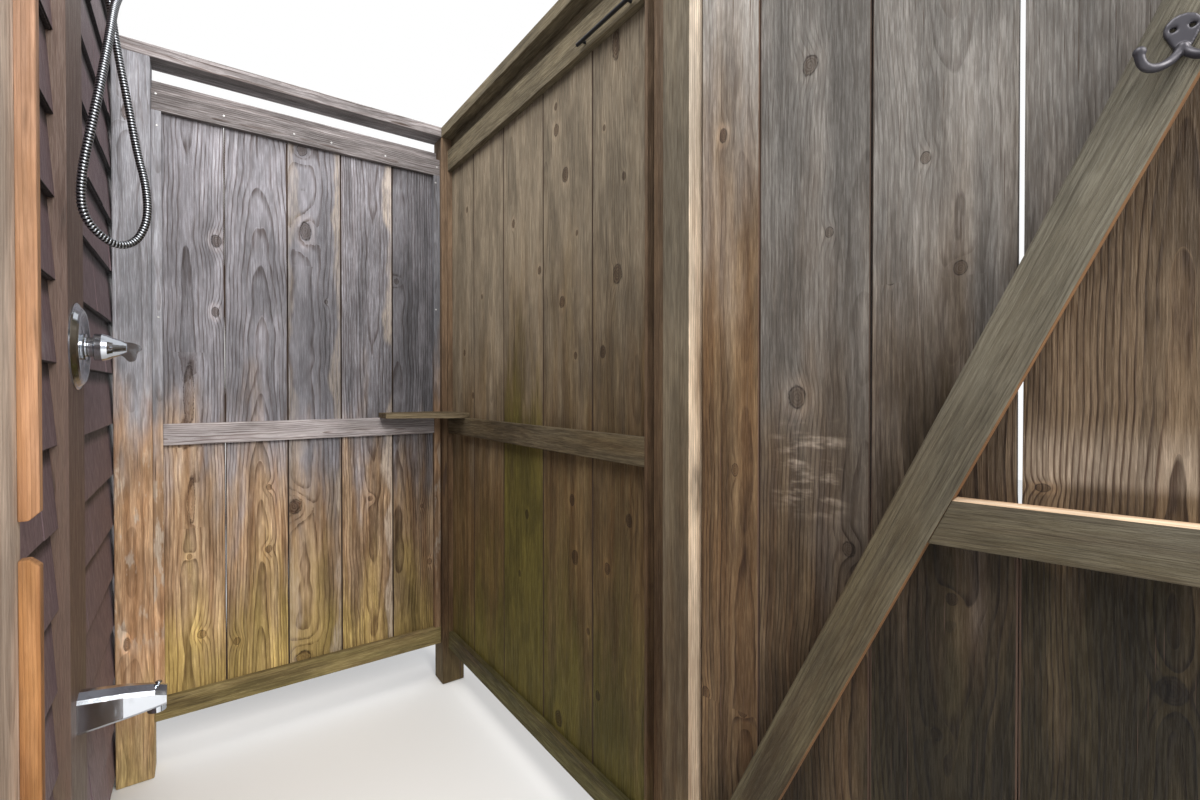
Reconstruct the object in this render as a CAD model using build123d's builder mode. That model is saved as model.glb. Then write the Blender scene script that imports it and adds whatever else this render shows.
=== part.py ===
"""An outdoor shower stall of weathered cedar against a shingled house wall.

Frame: millimetres. X runs out from the house wall, Y runs along it towards the
back fence panel, Z is up. The origin is the centre of the underside of the
section of house wall, at ground level. The gate is drawn standing open.
"""

from build123d import *
from math import atan2, cos, radians, sin, tan
import os

MIN = (Align.MIN, Align.MIN, Align.MIN)

# Section of house wall
wall_length = 1760
wall_thickness = 140
wall_height = 2440
shingle_courses = 16
shingle_start = 34
shingle_proud = 23
shingle_step = 12
plumbing_board_width = 166
plumbing_board_proud = 37
plumbing_y = -8

# Posts, stall size and heights
post_size = 90
post_ease = 3
post_height = 2200
stall_depth = 1376
stall_shift = 18
back_bay = 903
gate_post_depth = 149.5
gate_jamb_thickness = 38
gate_jamb_depth = 76
latch_post_depth = 87
latch_post_width = 90

# Cedar stock of the fence panels
board_thickness = 19
board_gap = 4
board_edge_gap = 2
rail_thickness = 20
outer_rail_thickness = 19
frame_setback = 21
cap_thickness = 38
cap_width = 90

# Back panel: feet above the ground, drops below the posts' tops
back_board_widths = [181, 177, 168, 179, 178]
back_strip_width = 25
back_board_foot = 165
back_board_drop = 90
back_bottom_rail_foot = 160
back_bottom_rail_height = 68
mid_rail_foot = 1015
mid_rail_height = 67
back_top_rail_drop = 150
back_top_rail_height = 64
back_outer_rail_drop = 45
outer_rail_height = 90

# Right panel: feet above the ground, drops below the posts' tops
right_board_widths = [234.5, 250, 259, 244, 219]
right_strip_width = 10
right_board_foot = 150
right_board_drop = 62
right_bottom_rail_foot = 145
right_bottom_rail_height = 66
right_top_rail_drop = 135
right_top_rail_height = 81
right_top_beam_thickness = 38

# Slim black hanging bar on the right panel's top rail
bar_r = 5
bar_stud_r = 4
bar_reach = 12
bar_drop = 119
bar_length = 229
bar_rail_end = 25
bar_stud_inset = 22

# Corner shelf: reach along each panel, and its square-cut ends
shelf_back_leg = 275.5
shelf_back_end = 106
shelf_side_leg = 225
shelf_side_end = 26
shelf_thickness = 19
shelf_post_gap = 1

# Gate and its hinges
gate_open_angle = 102
gate_bottom = 100
gate_drop = 50
gate_board_width = 180.5
gate_first_board = 115
gate_edge_gap = 6
gate_stop_clearance = 8
gate_rail_height = 64
gate_rail_thickness = 38
gate_rail_side_gap = 10.5
gate_bottom_rail_foot = 160
gate_mid_rail_foot = 974.5
gate_top_rail_drop = 170
brace_slope = 2.19
brace_width = 64
brace_fit_gap = 0.3
brace_s_at_mid_rail = 316
facing_thickness = 27
low_hinge_height = 192
middle_hinge_height = 1006
top_hinge_drop = 138
hinge_offset = 7
hinge_inset = 16.5
hinge_knuckle_r = 6
hinge_pin_r = 3
hinge_pin_gap = 0.3
hinge_leaf_thickness = 3
hinge_leaf_length = 84
hinge_leaf_height = 90
hinge_strap_length = 300
hinge_strap_tip = 24
hinge_knuckle_height = 30
hinge_knuckle_gap = 0.5

# Strip that the gate closes against
stop_size = 16
stop_foot = 60
stop_drop = 50
stop_gap_foot = 1020
stop_gap = 38.5
stop_chamfer = 8
stop_edge_reach = 1

# Slide bolt on the gate
bolt_height = 1051
bolt_plate_length = 80
bolt_plate_height = 24
bolt_plate_thickness = 3
bolt_r = 5
bolt_length = 92
bolt_seat = 0.6
bolt_keeper_wall = 3
bolt_keeper_thickness = 14
bolt_keeper_spacing = 52

# Robe hook on the gate's brace
hook_s = 628.5
hook_z = 1585
hook_head_r = 14
hook_neck_r = 5.5
hook_neck_drop = 21
hook_plate_thickness = 4
hook_wire_r = 3.6
hook_tip_r = 4.8
hook_reach = 34
hook_spread = 35
hook_drop = 42
hook_tip_drop = 27
hook_screw_spacing = 15
hook_screw_r = 3.6

# Mixing valve: profiles in shares of a length along the axis and of a radius
valve_height = 1274
escutcheon_r = 85
escutcheon_depth = 12
escutcheon_profile = [
    (0, 0),
    (0, 1),
    (0.2, 1),
    (0.33, 0.98),
    (0.33, 0.94),
    (0.8, 0.88),
    (1, 0.83),
    (1, 0.78),
    (0.6, 0.66),
    (0.5, 0.5),
    (0.5, 0),
]
sleeve_foot = 6
sleeve_ring_length = 8.5
sleeve_ring_r = 26
sleeve_neck_length = 11.5
sleeve_neck_r = 19.4
handle_r = 27
handle_length = 72
handle_gap = 0.4
bell_profile = [
    (0, 0),
    (0, 0.95),
    (0.02, 1),
    (0.16, 1),
    (0.28, 0.91),
    (0.4, 0.74),
    (0.58, 0.54),
    (0.68, 0.42),
    (0.7, 0),
]
lever_outline = [
    (0.42, 0.6),
    (0.58, 0.5),
    (0.68, 0.43),
    (0.79, 0.41),
    (0.9, 0.3),
    (0.98, 0.13),
    (1, 0),
    (0.98, -0.14),
    (0.92, -0.26),
    (0.89, -0.5),
    (0.87, -0.8),
    (0.8, -1.01),
    (0.72, -1),
    (0.65, -0.78),
    (0.56, -0.58),
    (0.42, -0.6),
]
lever_width = 15
set_screw_r = 2
set_screw_place = 0.36

# Tub spout: share of its length, width, rise of the foot, fall of the top
spout_height = 556
spout_length = 136
spout_base_height = 73
spout_sections = [(0, 62, 0, 0), (0.5, 57, 5.5, 9), (0.86, 50, 10.5, 20), (1, 46, 13, 27.5)]
spout_bevel = 6
spout_ridge = 5
spout_ridge_drop = 12
spout_outlet_outer_r = 16
spout_outlet_r = 12.5
spout_outlet_foot = 518
spout_outlet_depth = 29
spout_outlet_inset = 17

# Diverter in the spout
diverter_inset = 14
diverter_shaft_r = 2.6
diverter_shaft_foot = 557
diverter_knob_foot = 572
diverter_knob_r = 5.6
diverter_knob_flare = 2.4
diverter_knob_height = 6
diverter_knob_ease = 1.2
diverter_gap = 0.3

# Supply elbow, handset holder and handset
supply_height = 2112
flange_r = 28
flange_thickness = 8
elbow_reach = 47
elbow_r = 12
elbow_drop = 26
holder_reach = 77
holder_ring_r = 19
holder_height = 28
nut_r = 10.5
nut_length = 24
handset_tilt = 14
handset_handle_length = 170
handset_foot_r = 10.5
handset_neck_r = 13.5
handset_head_r = 46
handset_head_depth = 24

# Shower hose
hose_r = 7
arc_share = 0.45

# Places worked out from the sizes above
wall_face = wall_thickness / 2
shingle_face = wall_face + shingle_proud
board_face = wall_face + plumbing_board_proud
course_height = (wall_height - shingle_start) / shingle_courses
left_post_x = shingle_face
back_bay_x = left_post_x + post_size
inner_x = back_bay_x + back_bay
front_y = -stall_depth / 2 - stall_shift
back_y = front_y + stall_depth
gate_post_x = inner_x + gate_jamb_thickness
right_bay_y = front_y + gate_post_depth
latch_face = wall_face + latch_post_depth
stop_face = latch_face + stop_size
latch_post_y = front_y + stop_size - latch_post_width
hinge_x = gate_post_x - hinge_inset
hinge_y = front_y - gate_stop_clearance - board_thickness - hinge_offset
gate_width = hinge_x - latch_face - gate_edge_gap
gate_inner = hinge_offset + board_thickness
gate_x_dir = (-cos(radians(gate_open_angle)), -sin(radians(gate_open_angle)), 0)
gate_out = (sin(radians(gate_open_angle)), -cos(radians(gate_open_angle)), 0)
gate_rail_start = hinge_x - inner_x + gate_rail_side_gap
gate_rail_end = hinge_x - stop_face - gate_rail_side_gap
back_board_top = post_height - back_board_drop
back_top_rail_foot = post_height - back_top_rail_drop
back_outer_rail_top = post_height - back_outer_rail_drop
right_board_top = post_height - right_board_drop
right_top_rail_foot = post_height - right_top_rail_drop
gate_top = post_height - gate_drop
gate_top_rail_foot = post_height - gate_top_rail_drop
stop_top = post_height - stop_drop
hinge_heights = [low_hinge_height, middle_hinge_height, post_height - top_hinge_drop]


def gate_level(height):
    """A level plane through the hinge axis: x along the gate, y to its outer side."""
    return Plane(origin=(hinge_x, hinge_y, height), x_dir=gate_x_dir, z_dir=(0, 0, 1))


def gate_face(depth):
    """An upright plane inside the gate, depth behind the hinge axis, facing the stall."""
    origin = (hinge_x - gate_out[0] * depth, hinge_y - gate_out[1] * depth, 0)
    return Plane(origin=origin, x_dir=gate_x_dir, z_dir=(-gate_out[0], -gate_out[1], 0))


def timber(low, high):
    """A straight square-cut piece between two opposite corners."""
    size = [high[axis] - low[axis] for axis in range(3)]
    with BuildPart() as piece:
        with Locations(low):
            Box(*size, align=MIN)
    return piece


def post(x, y, size_x, size_y, height):
    """A square-cut post with eased upright edges, standing on the ground."""
    with BuildPart() as piece:
        with Locations((x, y, 0)):
            Box(size_x, size_y, height, align=MIN)
        chamfer(piece.edges().filter_by(Axis.Z), length=post_ease)
    return piece


def gate_timber(start, end, depth, thickness, foot, height):
    """A piece of the gate: start and end along it, depth behind the hinge axis."""
    with BuildPart() as piece:
        with BuildSketch(gate_level(foot)):
            with Locations((start, -depth)):
                Rectangle(end - start, thickness, align=(Align.MIN, Align.MAX))
        extrude(amount=height)
    return piece


# House wall section
with BuildPart() as house_wall:
    Box(wall_thickness, wall_length, wall_height, align=(Align.CENTER, Align.CENTER, Align.MIN))


def shingle_run(start, end):
    """Overlapping courses between two places along the wall, as one sawtooth band."""
    outline = [(wall_face, shingle_start)]
    for course in range(shingle_courses):
        foot = shingle_start + course * course_height
        outline.append((shingle_face, foot))
        outline.append((shingle_face - shingle_step, foot + course_height))
    outline.append((wall_face, wall_height))
    with BuildPart() as run:
        with BuildSketch(Plane.XZ.offset(-start)):
            with BuildLine():
                Polyline(*outline, close=True)
            make_face()
        extrude(amount=start - end)
    return run


plumbing_near = plumbing_y - plumbing_board_width / 2
plumbing_far = plumbing_y + plumbing_board_width / 2
with BuildPart() as wall_shingles_near:
    add(shingle_run(-wall_length / 2, latch_post_y).part)
    add(shingle_run(latch_post_y + latch_post_width, plumbing_near).part)

wall_shingles_far = shingle_run(plumbing_far, wall_length / 2)
plumbing_board = timber((wall_face, plumbing_near, shingle_start), (board_face, plumbing_far, wall_height))

# Posts
latch_post = post(wall_face, latch_post_y, latch_post_depth, latch_post_width, post_height)
back_left_post = post(left_post_x, back_y, post_size, post_size, post_height)
corner_post = post(inner_x, back_y, post_size, post_size, post_height)
gate_post = post(gate_post_x, front_y, post_size, gate_post_depth, post_height)
gate_jamb = timber((inner_x, front_y, 0), (gate_post_x, front_y + gate_jamb_depth, post_height))
gate_facing = timber(
    (gate_post_x, front_y - facing_thickness, 0),
    (gate_post_x + post_size, front_y, post_height),
)

# Stop strips with a chamfered gap for the bolt
with BuildPart() as gate_stop_strips:
    with Locations((latch_face, front_y, stop_foot)):
        Box(stop_size, stop_size, stop_gap_foot - stop_foot, align=MIN)
    with Locations((latch_face, front_y, stop_gap_foot + stop_gap)):
        Box(stop_size, stop_size, stop_top - stop_gap_foot - stop_gap, align=MIN)
    gap_edges = gate_stop_strips.edges().filter_by(Axis.Y).filter_by_position(
        Axis.Z, stop_gap_foot - stop_edge_reach, stop_gap_foot + stop_gap + stop_edge_reach
    )
    chamfer(gap_edges.group_by(Axis.X)[-1], length=stop_chamfer)

# Back panel
back_frame_y = back_y + frame_setback
back_board_y = back_frame_y + rail_thickness
back_outer_y = back_board_y + board_thickness


def fit_boards(widths, bay):
    """Start and width of each board, scaled so that the boards and their gaps fill a bay."""
    room = bay - 2 * board_edge_gap - board_gap * (len(widths) - 1)
    boards = []
    start = board_edge_gap
    for width in widths:
        fitted = width * room / sum(widths)
        boards.append((start, fitted))
        start += fitted + board_gap
    return boards


with BuildPart() as back_boards:
    for start, width in fit_boards(back_board_widths, back_bay):
        with Locations((back_bay_x + start, back_board_y, back_board_foot)):
            Box(width, board_thickness, back_board_top - back_board_foot, align=MIN)

back_bottom_rail_top = back_bottom_rail_foot + back_bottom_rail_height
back_bottom_rail = timber(
    (back_bay_x, back_frame_y, back_bottom_rail_foot),
    (inner_x, back_board_y, back_bottom_rail_top),
)
back_mid_rail = timber(
    (back_bay_x + back_strip_width, back_frame_y, mid_rail_foot),
    (inner_x - back_strip_width, back_board_y, mid_rail_foot + mid_rail_height),
)
back_top_rail = timber(
    (back_bay_x, back_frame_y, back_top_rail_foot),
    (inner_x, back_board_y, back_top_rail_foot + back_top_rail_height),
)
with BuildPart() as back_side_strips:
    for strip_x in (back_bay_x, inner_x - back_strip_width):
        with Locations((strip_x, back_frame_y, back_bottom_rail_top)):
            Box(
                back_strip_width,
                rail_thickness,
                back_top_rail_foot - back_bottom_rail_top,
                align=MIN,
            )
with BuildPart() as back_outer_rails:
    for rail_foot in (back_board_foot, back_outer_rail_top - outer_rail_height):
        with Locations((back_bay_x, back_outer_y, rail_foot)):
            Box(back_bay, outer_rail_thickness, outer_rail_height, align=MIN)
back_cap_rail = timber(
    (left_post_x, back_y, post_height),
    (inner_x, back_y + cap_width, post_height + cap_thickness),
)

# Right panel
right_frame_x = inner_x + frame_setback
right_board_x = right_frame_x + rail_thickness
right_outer_x = right_board_x + board_thickness
right_bay = back_y - right_bay_y
with BuildPart() as right_boards:
    for start, width in fit_boards(right_board_widths, right_bay):
        with Locations((right_board_x, right_bay_y + start, right_board_foot)):
            Box(board_thickness, width, right_board_top - right_board_foot, align=MIN)

right_rail_near = right_bay_y + right_strip_width
right_rail_far = back_y - right_strip_width
right_bottom_rail = timber(
    (right_frame_x, right_rail_near, right_bottom_rail_foot),
    (right_board_x, right_rail_far, right_bottom_rail_foot + right_bottom_rail_height),
)
right_mid_rail = timber(
    (right_frame_x, right_rail_near, mid_rail_foot),
    (right_board_x, right_rail_far, mid_rail_foot + mid_rail_height),
)
right_top_rail_top = right_top_rail_foot + right_top_rail_height
right_top_rail = timber(
    (right_frame_x, right_rail_near, right_top_rail_foot),
    (right_board_x, right_rail_far, right_top_rail_top),
)
with BuildPart() as right_side_strips:
    for strip_y in (right_bay_y, right_rail_far):
        with Locations((right_frame_x, strip_y, right_bottom_rail_foot)):
            Box(
                rail_thickness,
                right_strip_width,
                right_top_rail_top - right_bottom_rail_foot,
                align=MIN,
            )
with BuildPart() as right_outer_rails:
    with Locations((right_outer_x, right_bay_y, right_board_foot)):
        Box(outer_rail_thickness, right_bay, outer_rail_height, align=MIN)
    with Locations((right_board_x, right_bay_y, right_board_top)):
        Box(right_top_beam_thickness, right_bay, right_board_drop, align=MIN)
right_cap_rail = timber(
    (inner_x, front_y, post_height),
    (inner_x + cap_width, back_y + cap_width, post_height + cap_thickness),
)

# Hanging bar on two studs, level along the top rail
bar_x = right_frame_x - bar_reach
bar_near = right_rail_near + bar_rail_end
bar_far = bar_near + bar_length
bar_z = post_height - bar_drop
with BuildPart() as hanging_bar:
    with BuildSketch(Plane(origin=(bar_x, bar_near, bar_z), x_dir=(1, 0, 0), z_dir=(0, 1, 0))):
        Circle(bar_r)
    extrude(amount=bar_length)
    fillet(hanging_bar.edges(), radius=bar_r * arc_share)
    for stud_y in (bar_near + bar_stud_inset, bar_far - bar_stud_inset):
        with BuildSketch(Plane(origin=(bar_x, stud_y, bar_z), x_dir=(0, 1, 0), z_dir=(1, 0, 0))):
            Circle(bar_stud_r)
        extrude(amount=bar_reach)

# Corner shelf on the mid rails, notched round the corner post and the side strips
shelf_z = mid_rail_foot + mid_rail_height
shelf_post_x = inner_x - shelf_post_gap
shelf_post_y = back_y - shelf_post_gap
shelf_strip_x = inner_x - back_strip_width - shelf_post_gap
shelf_strip_y = back_y - right_strip_width - shelf_post_gap
with BuildPart() as corner_shelf:
    with BuildSketch(Plane.XY.offset(shelf_z)):
        with BuildLine():
            Polyline(
                (right_board_x - shelf_back_leg, back_board_y),
                (right_board_x - shelf_back_leg, back_board_y - shelf_back_end),
                (right_board_x - shelf_side_end, back_board_y - shelf_side_leg),
                (right_board_x, back_board_y - shelf_side_leg),
                (right_board_x, shelf_strip_y),
                (right_frame_x - shelf_post_gap, shelf_strip_y),
                (right_frame_x - shelf_post_gap, shelf_post_y),
                (shelf_post_x, shelf_post_y),
                (shelf_post_x, back_frame_y - shelf_post_gap),
                (shelf_strip_x, back_frame_y - shelf_post_gap),
                (shelf_strip_x, back_board_y),
                close=True,
            )
        make_face()
    extrude(amount=shelf_thickness)

# Gate
gate_height = gate_top - gate_bottom
gate_board_edges = [(0, gate_first_board)]
while gate_board_edges[-1][1] + board_gap + gate_board_width < gate_width:
    edge = gate_board_edges[-1][1] + board_gap
    gate_board_edges.append((edge, edge + gate_board_width))
gate_board_edges.append((gate_board_edges[-1][1] + board_gap, gate_width))
with BuildPart() as gate_boards:
    for start, end in gate_board_edges:
        with BuildSketch(gate_level(gate_bottom)):
            with Locations((start, -hinge_offset)):
                Rectangle(end - start, board_thickness, align=(Align.MIN, Align.MAX))
    extrude(amount=gate_height)

gate_bottom_rail = gate_timber(
    gate_rail_start,
    gate_rail_end,
    gate_inner,
    gate_rail_thickness,
    gate_bottom_rail_foot,
    gate_rail_height,
)
gate_top_rail = gate_timber(
    gate_rail_start,
    gate_rail_end,
    gate_inner,
    gate_rail_thickness,
    gate_top_rail_foot,
    gate_rail_height,
)

brace_span = brace_width / sin(atan2(brace_slope, 1))


def brace_left(height):
    """Where the brace's upper edge lies along the gate at a height."""
    return brace_s_at_mid_rail + (height - gate_mid_rail_foot) / brace_slope


def brace_right(height):
    """Where the brace's lower edge lies along the gate at a height."""
    return brace_left(height) + brace_span


brace_foot = gate_bottom_rail_foot + gate_rail_height
brace_head = gate_top_rail_foot
brace_side_height = gate_mid_rail_foot + (gate_rail_start - brace_s_at_mid_rail) * brace_slope
with BuildPart() as gate_brace:
    with BuildSketch(gate_face(gate_inner)):
        with BuildLine():
            Polyline(
                (gate_rail_start, brace_foot),
                (brace_right(brace_foot), brace_foot),
                (brace_right(brace_head), brace_head),
                (brace_left(brace_head), brace_head),
                (gate_rail_start, brace_side_height),
                close=True,
            )
        make_face()
    extrude(amount=gate_rail_thickness)

mid_rail_top = gate_mid_rail_foot + gate_rail_height
with BuildPart() as gate_mid_rail:
    with BuildSketch(gate_face(gate_inner)):
        with BuildLine():
            Polyline(
                (brace_right(gate_mid_rail_foot) + brace_fit_gap, gate_mid_rail_foot),
                (gate_rail_end, gate_mid_rail_foot),
                (gate_rail_end, mid_rail_top),
                (brace_right(mid_rail_top) + brace_fit_gap, mid_rail_top),
                close=True,
            )
        make_face()
    extrude(amount=gate_rail_thickness)

# Hinges: a leaf with two knuckles and the pin on the post, a strap on the gate
leaf_back_y = hinge_y + hinge_offset
hinge_bore_r = hinge_pin_r + hinge_pin_gap
hinge_half = hinge_leaf_height / 2
with BuildPart() as hinge_leaves:
    for height in hinge_heights:
        with Locations((hinge_x, leaf_back_y, height - hinge_half)):
            Box(
                hinge_leaf_length,
                hinge_leaf_thickness,
                hinge_leaf_height,
                align=(Align.MIN, Align.MAX, Align.MIN),
            )
        with Locations((hinge_x, hinge_y, height)):
            Cylinder(hinge_knuckle_r, hinge_leaf_height)
            Cylinder(
                hinge_knuckle_r + hinge_offset,
                hinge_knuckle_height + 2 * hinge_knuckle_gap,
                mode=Mode.SUBTRACT,
            )
            Cylinder(hinge_pin_r, hinge_leaf_height)

with BuildPart() as hinge_straps:
    for height in hinge_heights:
        with BuildSketch(gate_face(hinge_offset)):
            with BuildLine():
                Polyline(
                    (0, height - hinge_knuckle_height / 2),
                    (hinge_strap_length, height - hinge_strap_tip / 2),
                    (hinge_strap_length, height + hinge_strap_tip / 2),
                    (0, height + hinge_knuckle_height / 2),
                    close=True,
                )
            make_face()
        extrude(amount=-hinge_leaf_thickness)
        with BuildSketch(gate_level(height - hinge_knuckle_height / 2)):
            Circle(hinge_knuckle_r)
        extrude(amount=hinge_knuckle_height)
        with BuildSketch(gate_level(height - hinge_knuckle_height / 2)):
            Circle(hinge_bore_r)
        extrude(amount=hinge_knuckle_height, mode=Mode.SUBTRACT)

# Slide bolt, drawn back, on the boards just above the mid rail
bolt_end = gate_rail_end
bolt_middle = bolt_end - bolt_plate_length / 2
bolt_depth = gate_inner + bolt_plate_thickness + bolt_r - bolt_seat
with BuildPart() as gate_bolt:
    with BuildSketch(gate_face(gate_inner)):
        with Locations((bolt_middle, bolt_height)):
            RectangleRounded(bolt_plate_length, bolt_plate_height, 4)
    extrude(amount=bolt_plate_thickness)
    with BuildSketch(gate_face(gate_inner)):
        with Locations((bolt_middle, bolt_height)):
            with GridLocations(bolt_keeper_spacing, 0, 2, 1):
                Rectangle(bolt_keeper_thickness, bolt_plate_height * 0.7)
    extrude(amount=bolt_plate_thickness + 2 * bolt_r + bolt_keeper_wall)
    bolt_start = gate_face(bolt_depth).from_local_coords((bolt_end - bolt_length, bolt_height))
    with BuildSketch(Plane(origin=bolt_start, x_dir=(0, 0, 1), z_dir=gate_x_dir)):
        Circle(bolt_r)
    extrude(amount=bolt_length)

# Robe hook: an egg-shaped plate with two screw holes, and two prongs from its neck
hook_face = gate_inner + gate_rail_thickness
hook_neck_z = hook_z - hook_neck_drop
hook_wire_depth = hook_face + hook_wire_r + hook_plate_thickness / 4
with BuildPart() as robe_hook:
    with BuildSketch(gate_face(hook_face)):
        with Locations((hook_s, hook_z)):
            Circle(hook_head_r)
        with Locations((hook_s, hook_neck_z)):
            Circle(hook_neck_r)
        make_hull()
    extrude(amount=hook_plate_thickness)
    with BuildSketch(gate_face(hook_face)):
        with Locations((hook_s, hook_z)):
            with GridLocations(hook_screw_spacing, 0, 2, 1):
                Circle(hook_screw_r)
    extrude(amount=hook_plate_thickness, mode=Mode.SUBTRACT)
    for side in (-1, 1):
        prong_points = [
            gate_face(hook_wire_depth).from_local_coords((hook_s, hook_neck_z)),
            gate_face(hook_face + hook_reach * 0.35).from_local_coords(
                (hook_s + side * hook_spread * 0.4, hook_z - hook_drop * 0.92)
            ),
            gate_face(hook_face + hook_reach * 0.8).from_local_coords(
                (hook_s + side * hook_spread * 0.85, hook_z - hook_drop)
            ),
            gate_face(hook_face + hook_reach).from_local_coords(
                (hook_s + side * hook_spread, hook_z - hook_tip_drop)
            ),
        ]
        with BuildLine() as prong_path:
            Spline(*prong_points)
        with BuildSketch(Plane(origin=prong_path.line @ 0, z_dir=prong_path.line % 0)):
            Circle(hook_wire_r)
        sweep(path=prong_path.line)
        with Locations(prong_path.line @ 0):
            Sphere(hook_wire_r)
        with Locations(prong_path.line @ 1):
            Sphere(hook_tip_r)

# Mixing valve: escutcheon, two sleeve rings and lever handle, all on one level axis
valve_plane = Plane(origin=(board_face, plumbing_y, valve_height), x_dir=(0, 1, 0), z_dir=(1, 0, 0))
valve_profile = Plane(origin=(board_face, plumbing_y, valve_height), x_dir=(1, 0, 0), z_dir=(0, -1, 0))
valve_axis = Axis((board_face, plumbing_y, valve_height), (1, 0, 0))
with BuildPart() as valve_escutcheon:
    with BuildSketch(valve_profile):
        with BuildLine():
            Polyline(
                *[(along * escutcheon_depth, out * escutcheon_r) for along, out in escutcheon_profile],
                close=True,
            )
        make_face()
    revolve(axis=valve_axis)

sleeve_neck_foot = sleeve_foot + sleeve_ring_length
with BuildPart() as valve_sleeve:
    with BuildSketch(valve_plane.offset(sleeve_foot)):
        Circle(sleeve_ring_r)
    extrude(amount=sleeve_ring_length)
    with BuildSketch(valve_plane.offset(sleeve_neck_foot)):
        Circle(sleeve_neck_r)
    extrude(amount=sleeve_neck_length)

handle_start = sleeve_neck_foot + sleeve_neck_length + handle_gap
set_screw_x = board_face + handle_start + set_screw_place * handle_length
with BuildPart() as valve_handle:
    with BuildSketch(valve_profile):
        with BuildLine():
            Polyline(
                *[(handle_start + along * handle_length, out * handle_r) for along, out in bell_profile],
                close=True,
            )
        make_face()
    revolve(axis=valve_axis)
    with BuildSketch(valve_profile):
        with BuildLine():
            lever_curve = Spline(
                *[(handle_start + along * handle_length, up * handle_r) for along, up in lever_outline]
            )
            Line(lever_curve @ 1, lever_curve @ 0)
        make_face()
    extrude(amount=lever_width / 2, both=True)
    with BuildSketch(Plane(origin=(set_screw_x, plumbing_y, valve_height), z_dir=(0, -1, 0))):
        Circle(set_screw_r)
    extrude(amount=handle_r, mode=Mode.SUBTRACT)


def spout_section(width, foot, top):
    """Corners of the spout's cross-section: bevelled feet, ridged sides, a crowned top."""
    half = width / 2
    right = [
        (half - spout_bevel, foot),
        (half, foot + spout_bevel),
        (half, top - spout_ridge_drop),
        (half - spout_ridge, top - spout_ridge),
    ]
    left = [(-across, up) for across, up in reversed(right)]
    return right + [(0, top)] + left


# Tub spout with its outlet underneath, and the diverter knob on top
spout_plane = Plane(origin=(board_face, plumbing_y, spout_height), x_dir=(0, 1, 0), z_dir=(1, 0, 0))
spout_half = spout_base_height / 2
outlet_x = board_face + spout_length - spout_outlet_inset
diverter_x = board_face + spout_length - diverter_inset
with BuildPart() as tub_spout:
    for share, width, foot_rise, top_fall in spout_sections:
        with BuildSketch(spout_plane.offset(share * spout_length)):
            with BuildLine():
                Polyline(*spout_section(width, foot_rise - spout_half, spout_half - top_fall), close=True)
            make_face()
    loft(ruled=True)
    with Locations((outlet_x, plumbing_y, spout_outlet_foot)):
        Cylinder(
            spout_outlet_outer_r,
            spout_outlet_depth,
            align=(Align.CENTER, Align.CENTER, Align.MIN),
        )
        Cylinder(
            spout_outlet_r,
            spout_outlet_depth,
            align=(Align.CENTER, Align.CENTER, Align.MIN),
            mode=Mode.SUBTRACT,
        )
    with Locations((diverter_x, plumbing_y, spout_outlet_foot)):
        Cylinder(
            diverter_shaft_r + diverter_gap,
            spout_base_height,
            align=(Align.CENTER, Align.CENTER, Align.MIN),
            mode=Mode.SUBTRACT,
        )
diverter_axis = Axis((diverter_x, plumbing_y, spout_height), (0, 0, 1))
diverter_plane = Plane(origin=(diverter_x, plumbing_y, 0), x_dir=(1, 0, 0), z_dir=(0, -1, 0))
diverter_top = diverter_knob_foot + diverter_knob_height
with BuildPart() as diverter_knob:
    with BuildSketch(diverter_plane):
        with BuildLine():
            Polyline(
                (0, diverter_shaft_foot),
                (diverter_shaft_r, diverter_shaft_foot),
                (diverter_shaft_r, diverter_knob_foot),
                (diverter_knob_r, diverter_knob_foot + diverter_knob_flare),
                (diverter_knob_r, diverter_top - diverter_knob_ease),
                (diverter_knob_r - diverter_knob_ease, diverter_top),
                (0, diverter_top),
                close=True,
            )
        make_face()
    revolve(axis=diverter_axis)

# Supply elbow, holder ring and handset near the top of the board
supply_plane = Plane(origin=(board_face, plumbing_y, supply_height), x_dir=(0, 1, 0), z_dir=(1, 0, 0))
elbow_x = board_face + elbow_reach
holder_x = board_face + holder_reach
with BuildPart() as supply_elbow:
    with BuildSketch(supply_plane):
        Circle(flange_r)
    extrude(amount=flange_thickness)
    with BuildSketch(supply_plane):
        Circle(elbow_r)
    extrude(amount=elbow_reach)
    with Locations((elbow_x, plumbing_y, supply_height)):
        Sphere(elbow_r)
        Cylinder(elbow_r, elbow_drop, align=(Align.CENTER, Align.CENTER, Align.MAX))
    with BuildSketch(supply_plane):
        Rectangle(elbow_r, elbow_r)
    extrude(amount=holder_reach)
    with Locations((holder_x, plumbing_y, supply_height)):
        Cylinder(holder_ring_r, holder_height)
    with Locations((holder_x, plumbing_y, supply_height - holder_height)):
        Cone(
            handset_foot_r + 0.8,
            handset_neck_r + 1.6,
            2 * holder_height,
            align=(Align.CENTER, Align.CENTER, Align.MIN),
            mode=Mode.SUBTRACT,
        )

elbow_outlet = supply_height - elbow_drop
handset_foot = supply_height - holder_height
with BuildPart() as hose_nuts:
    with Locations((elbow_x, plumbing_y, elbow_outlet)):
        Cylinder(nut_r, nut_length, align=(Align.CENTER, Align.CENTER, Align.MAX))
    with Locations((holder_x, plumbing_y, handset_foot)):
        Cylinder(nut_r, nut_length, align=(Align.CENTER, Align.CENTER, Align.MAX))

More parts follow.
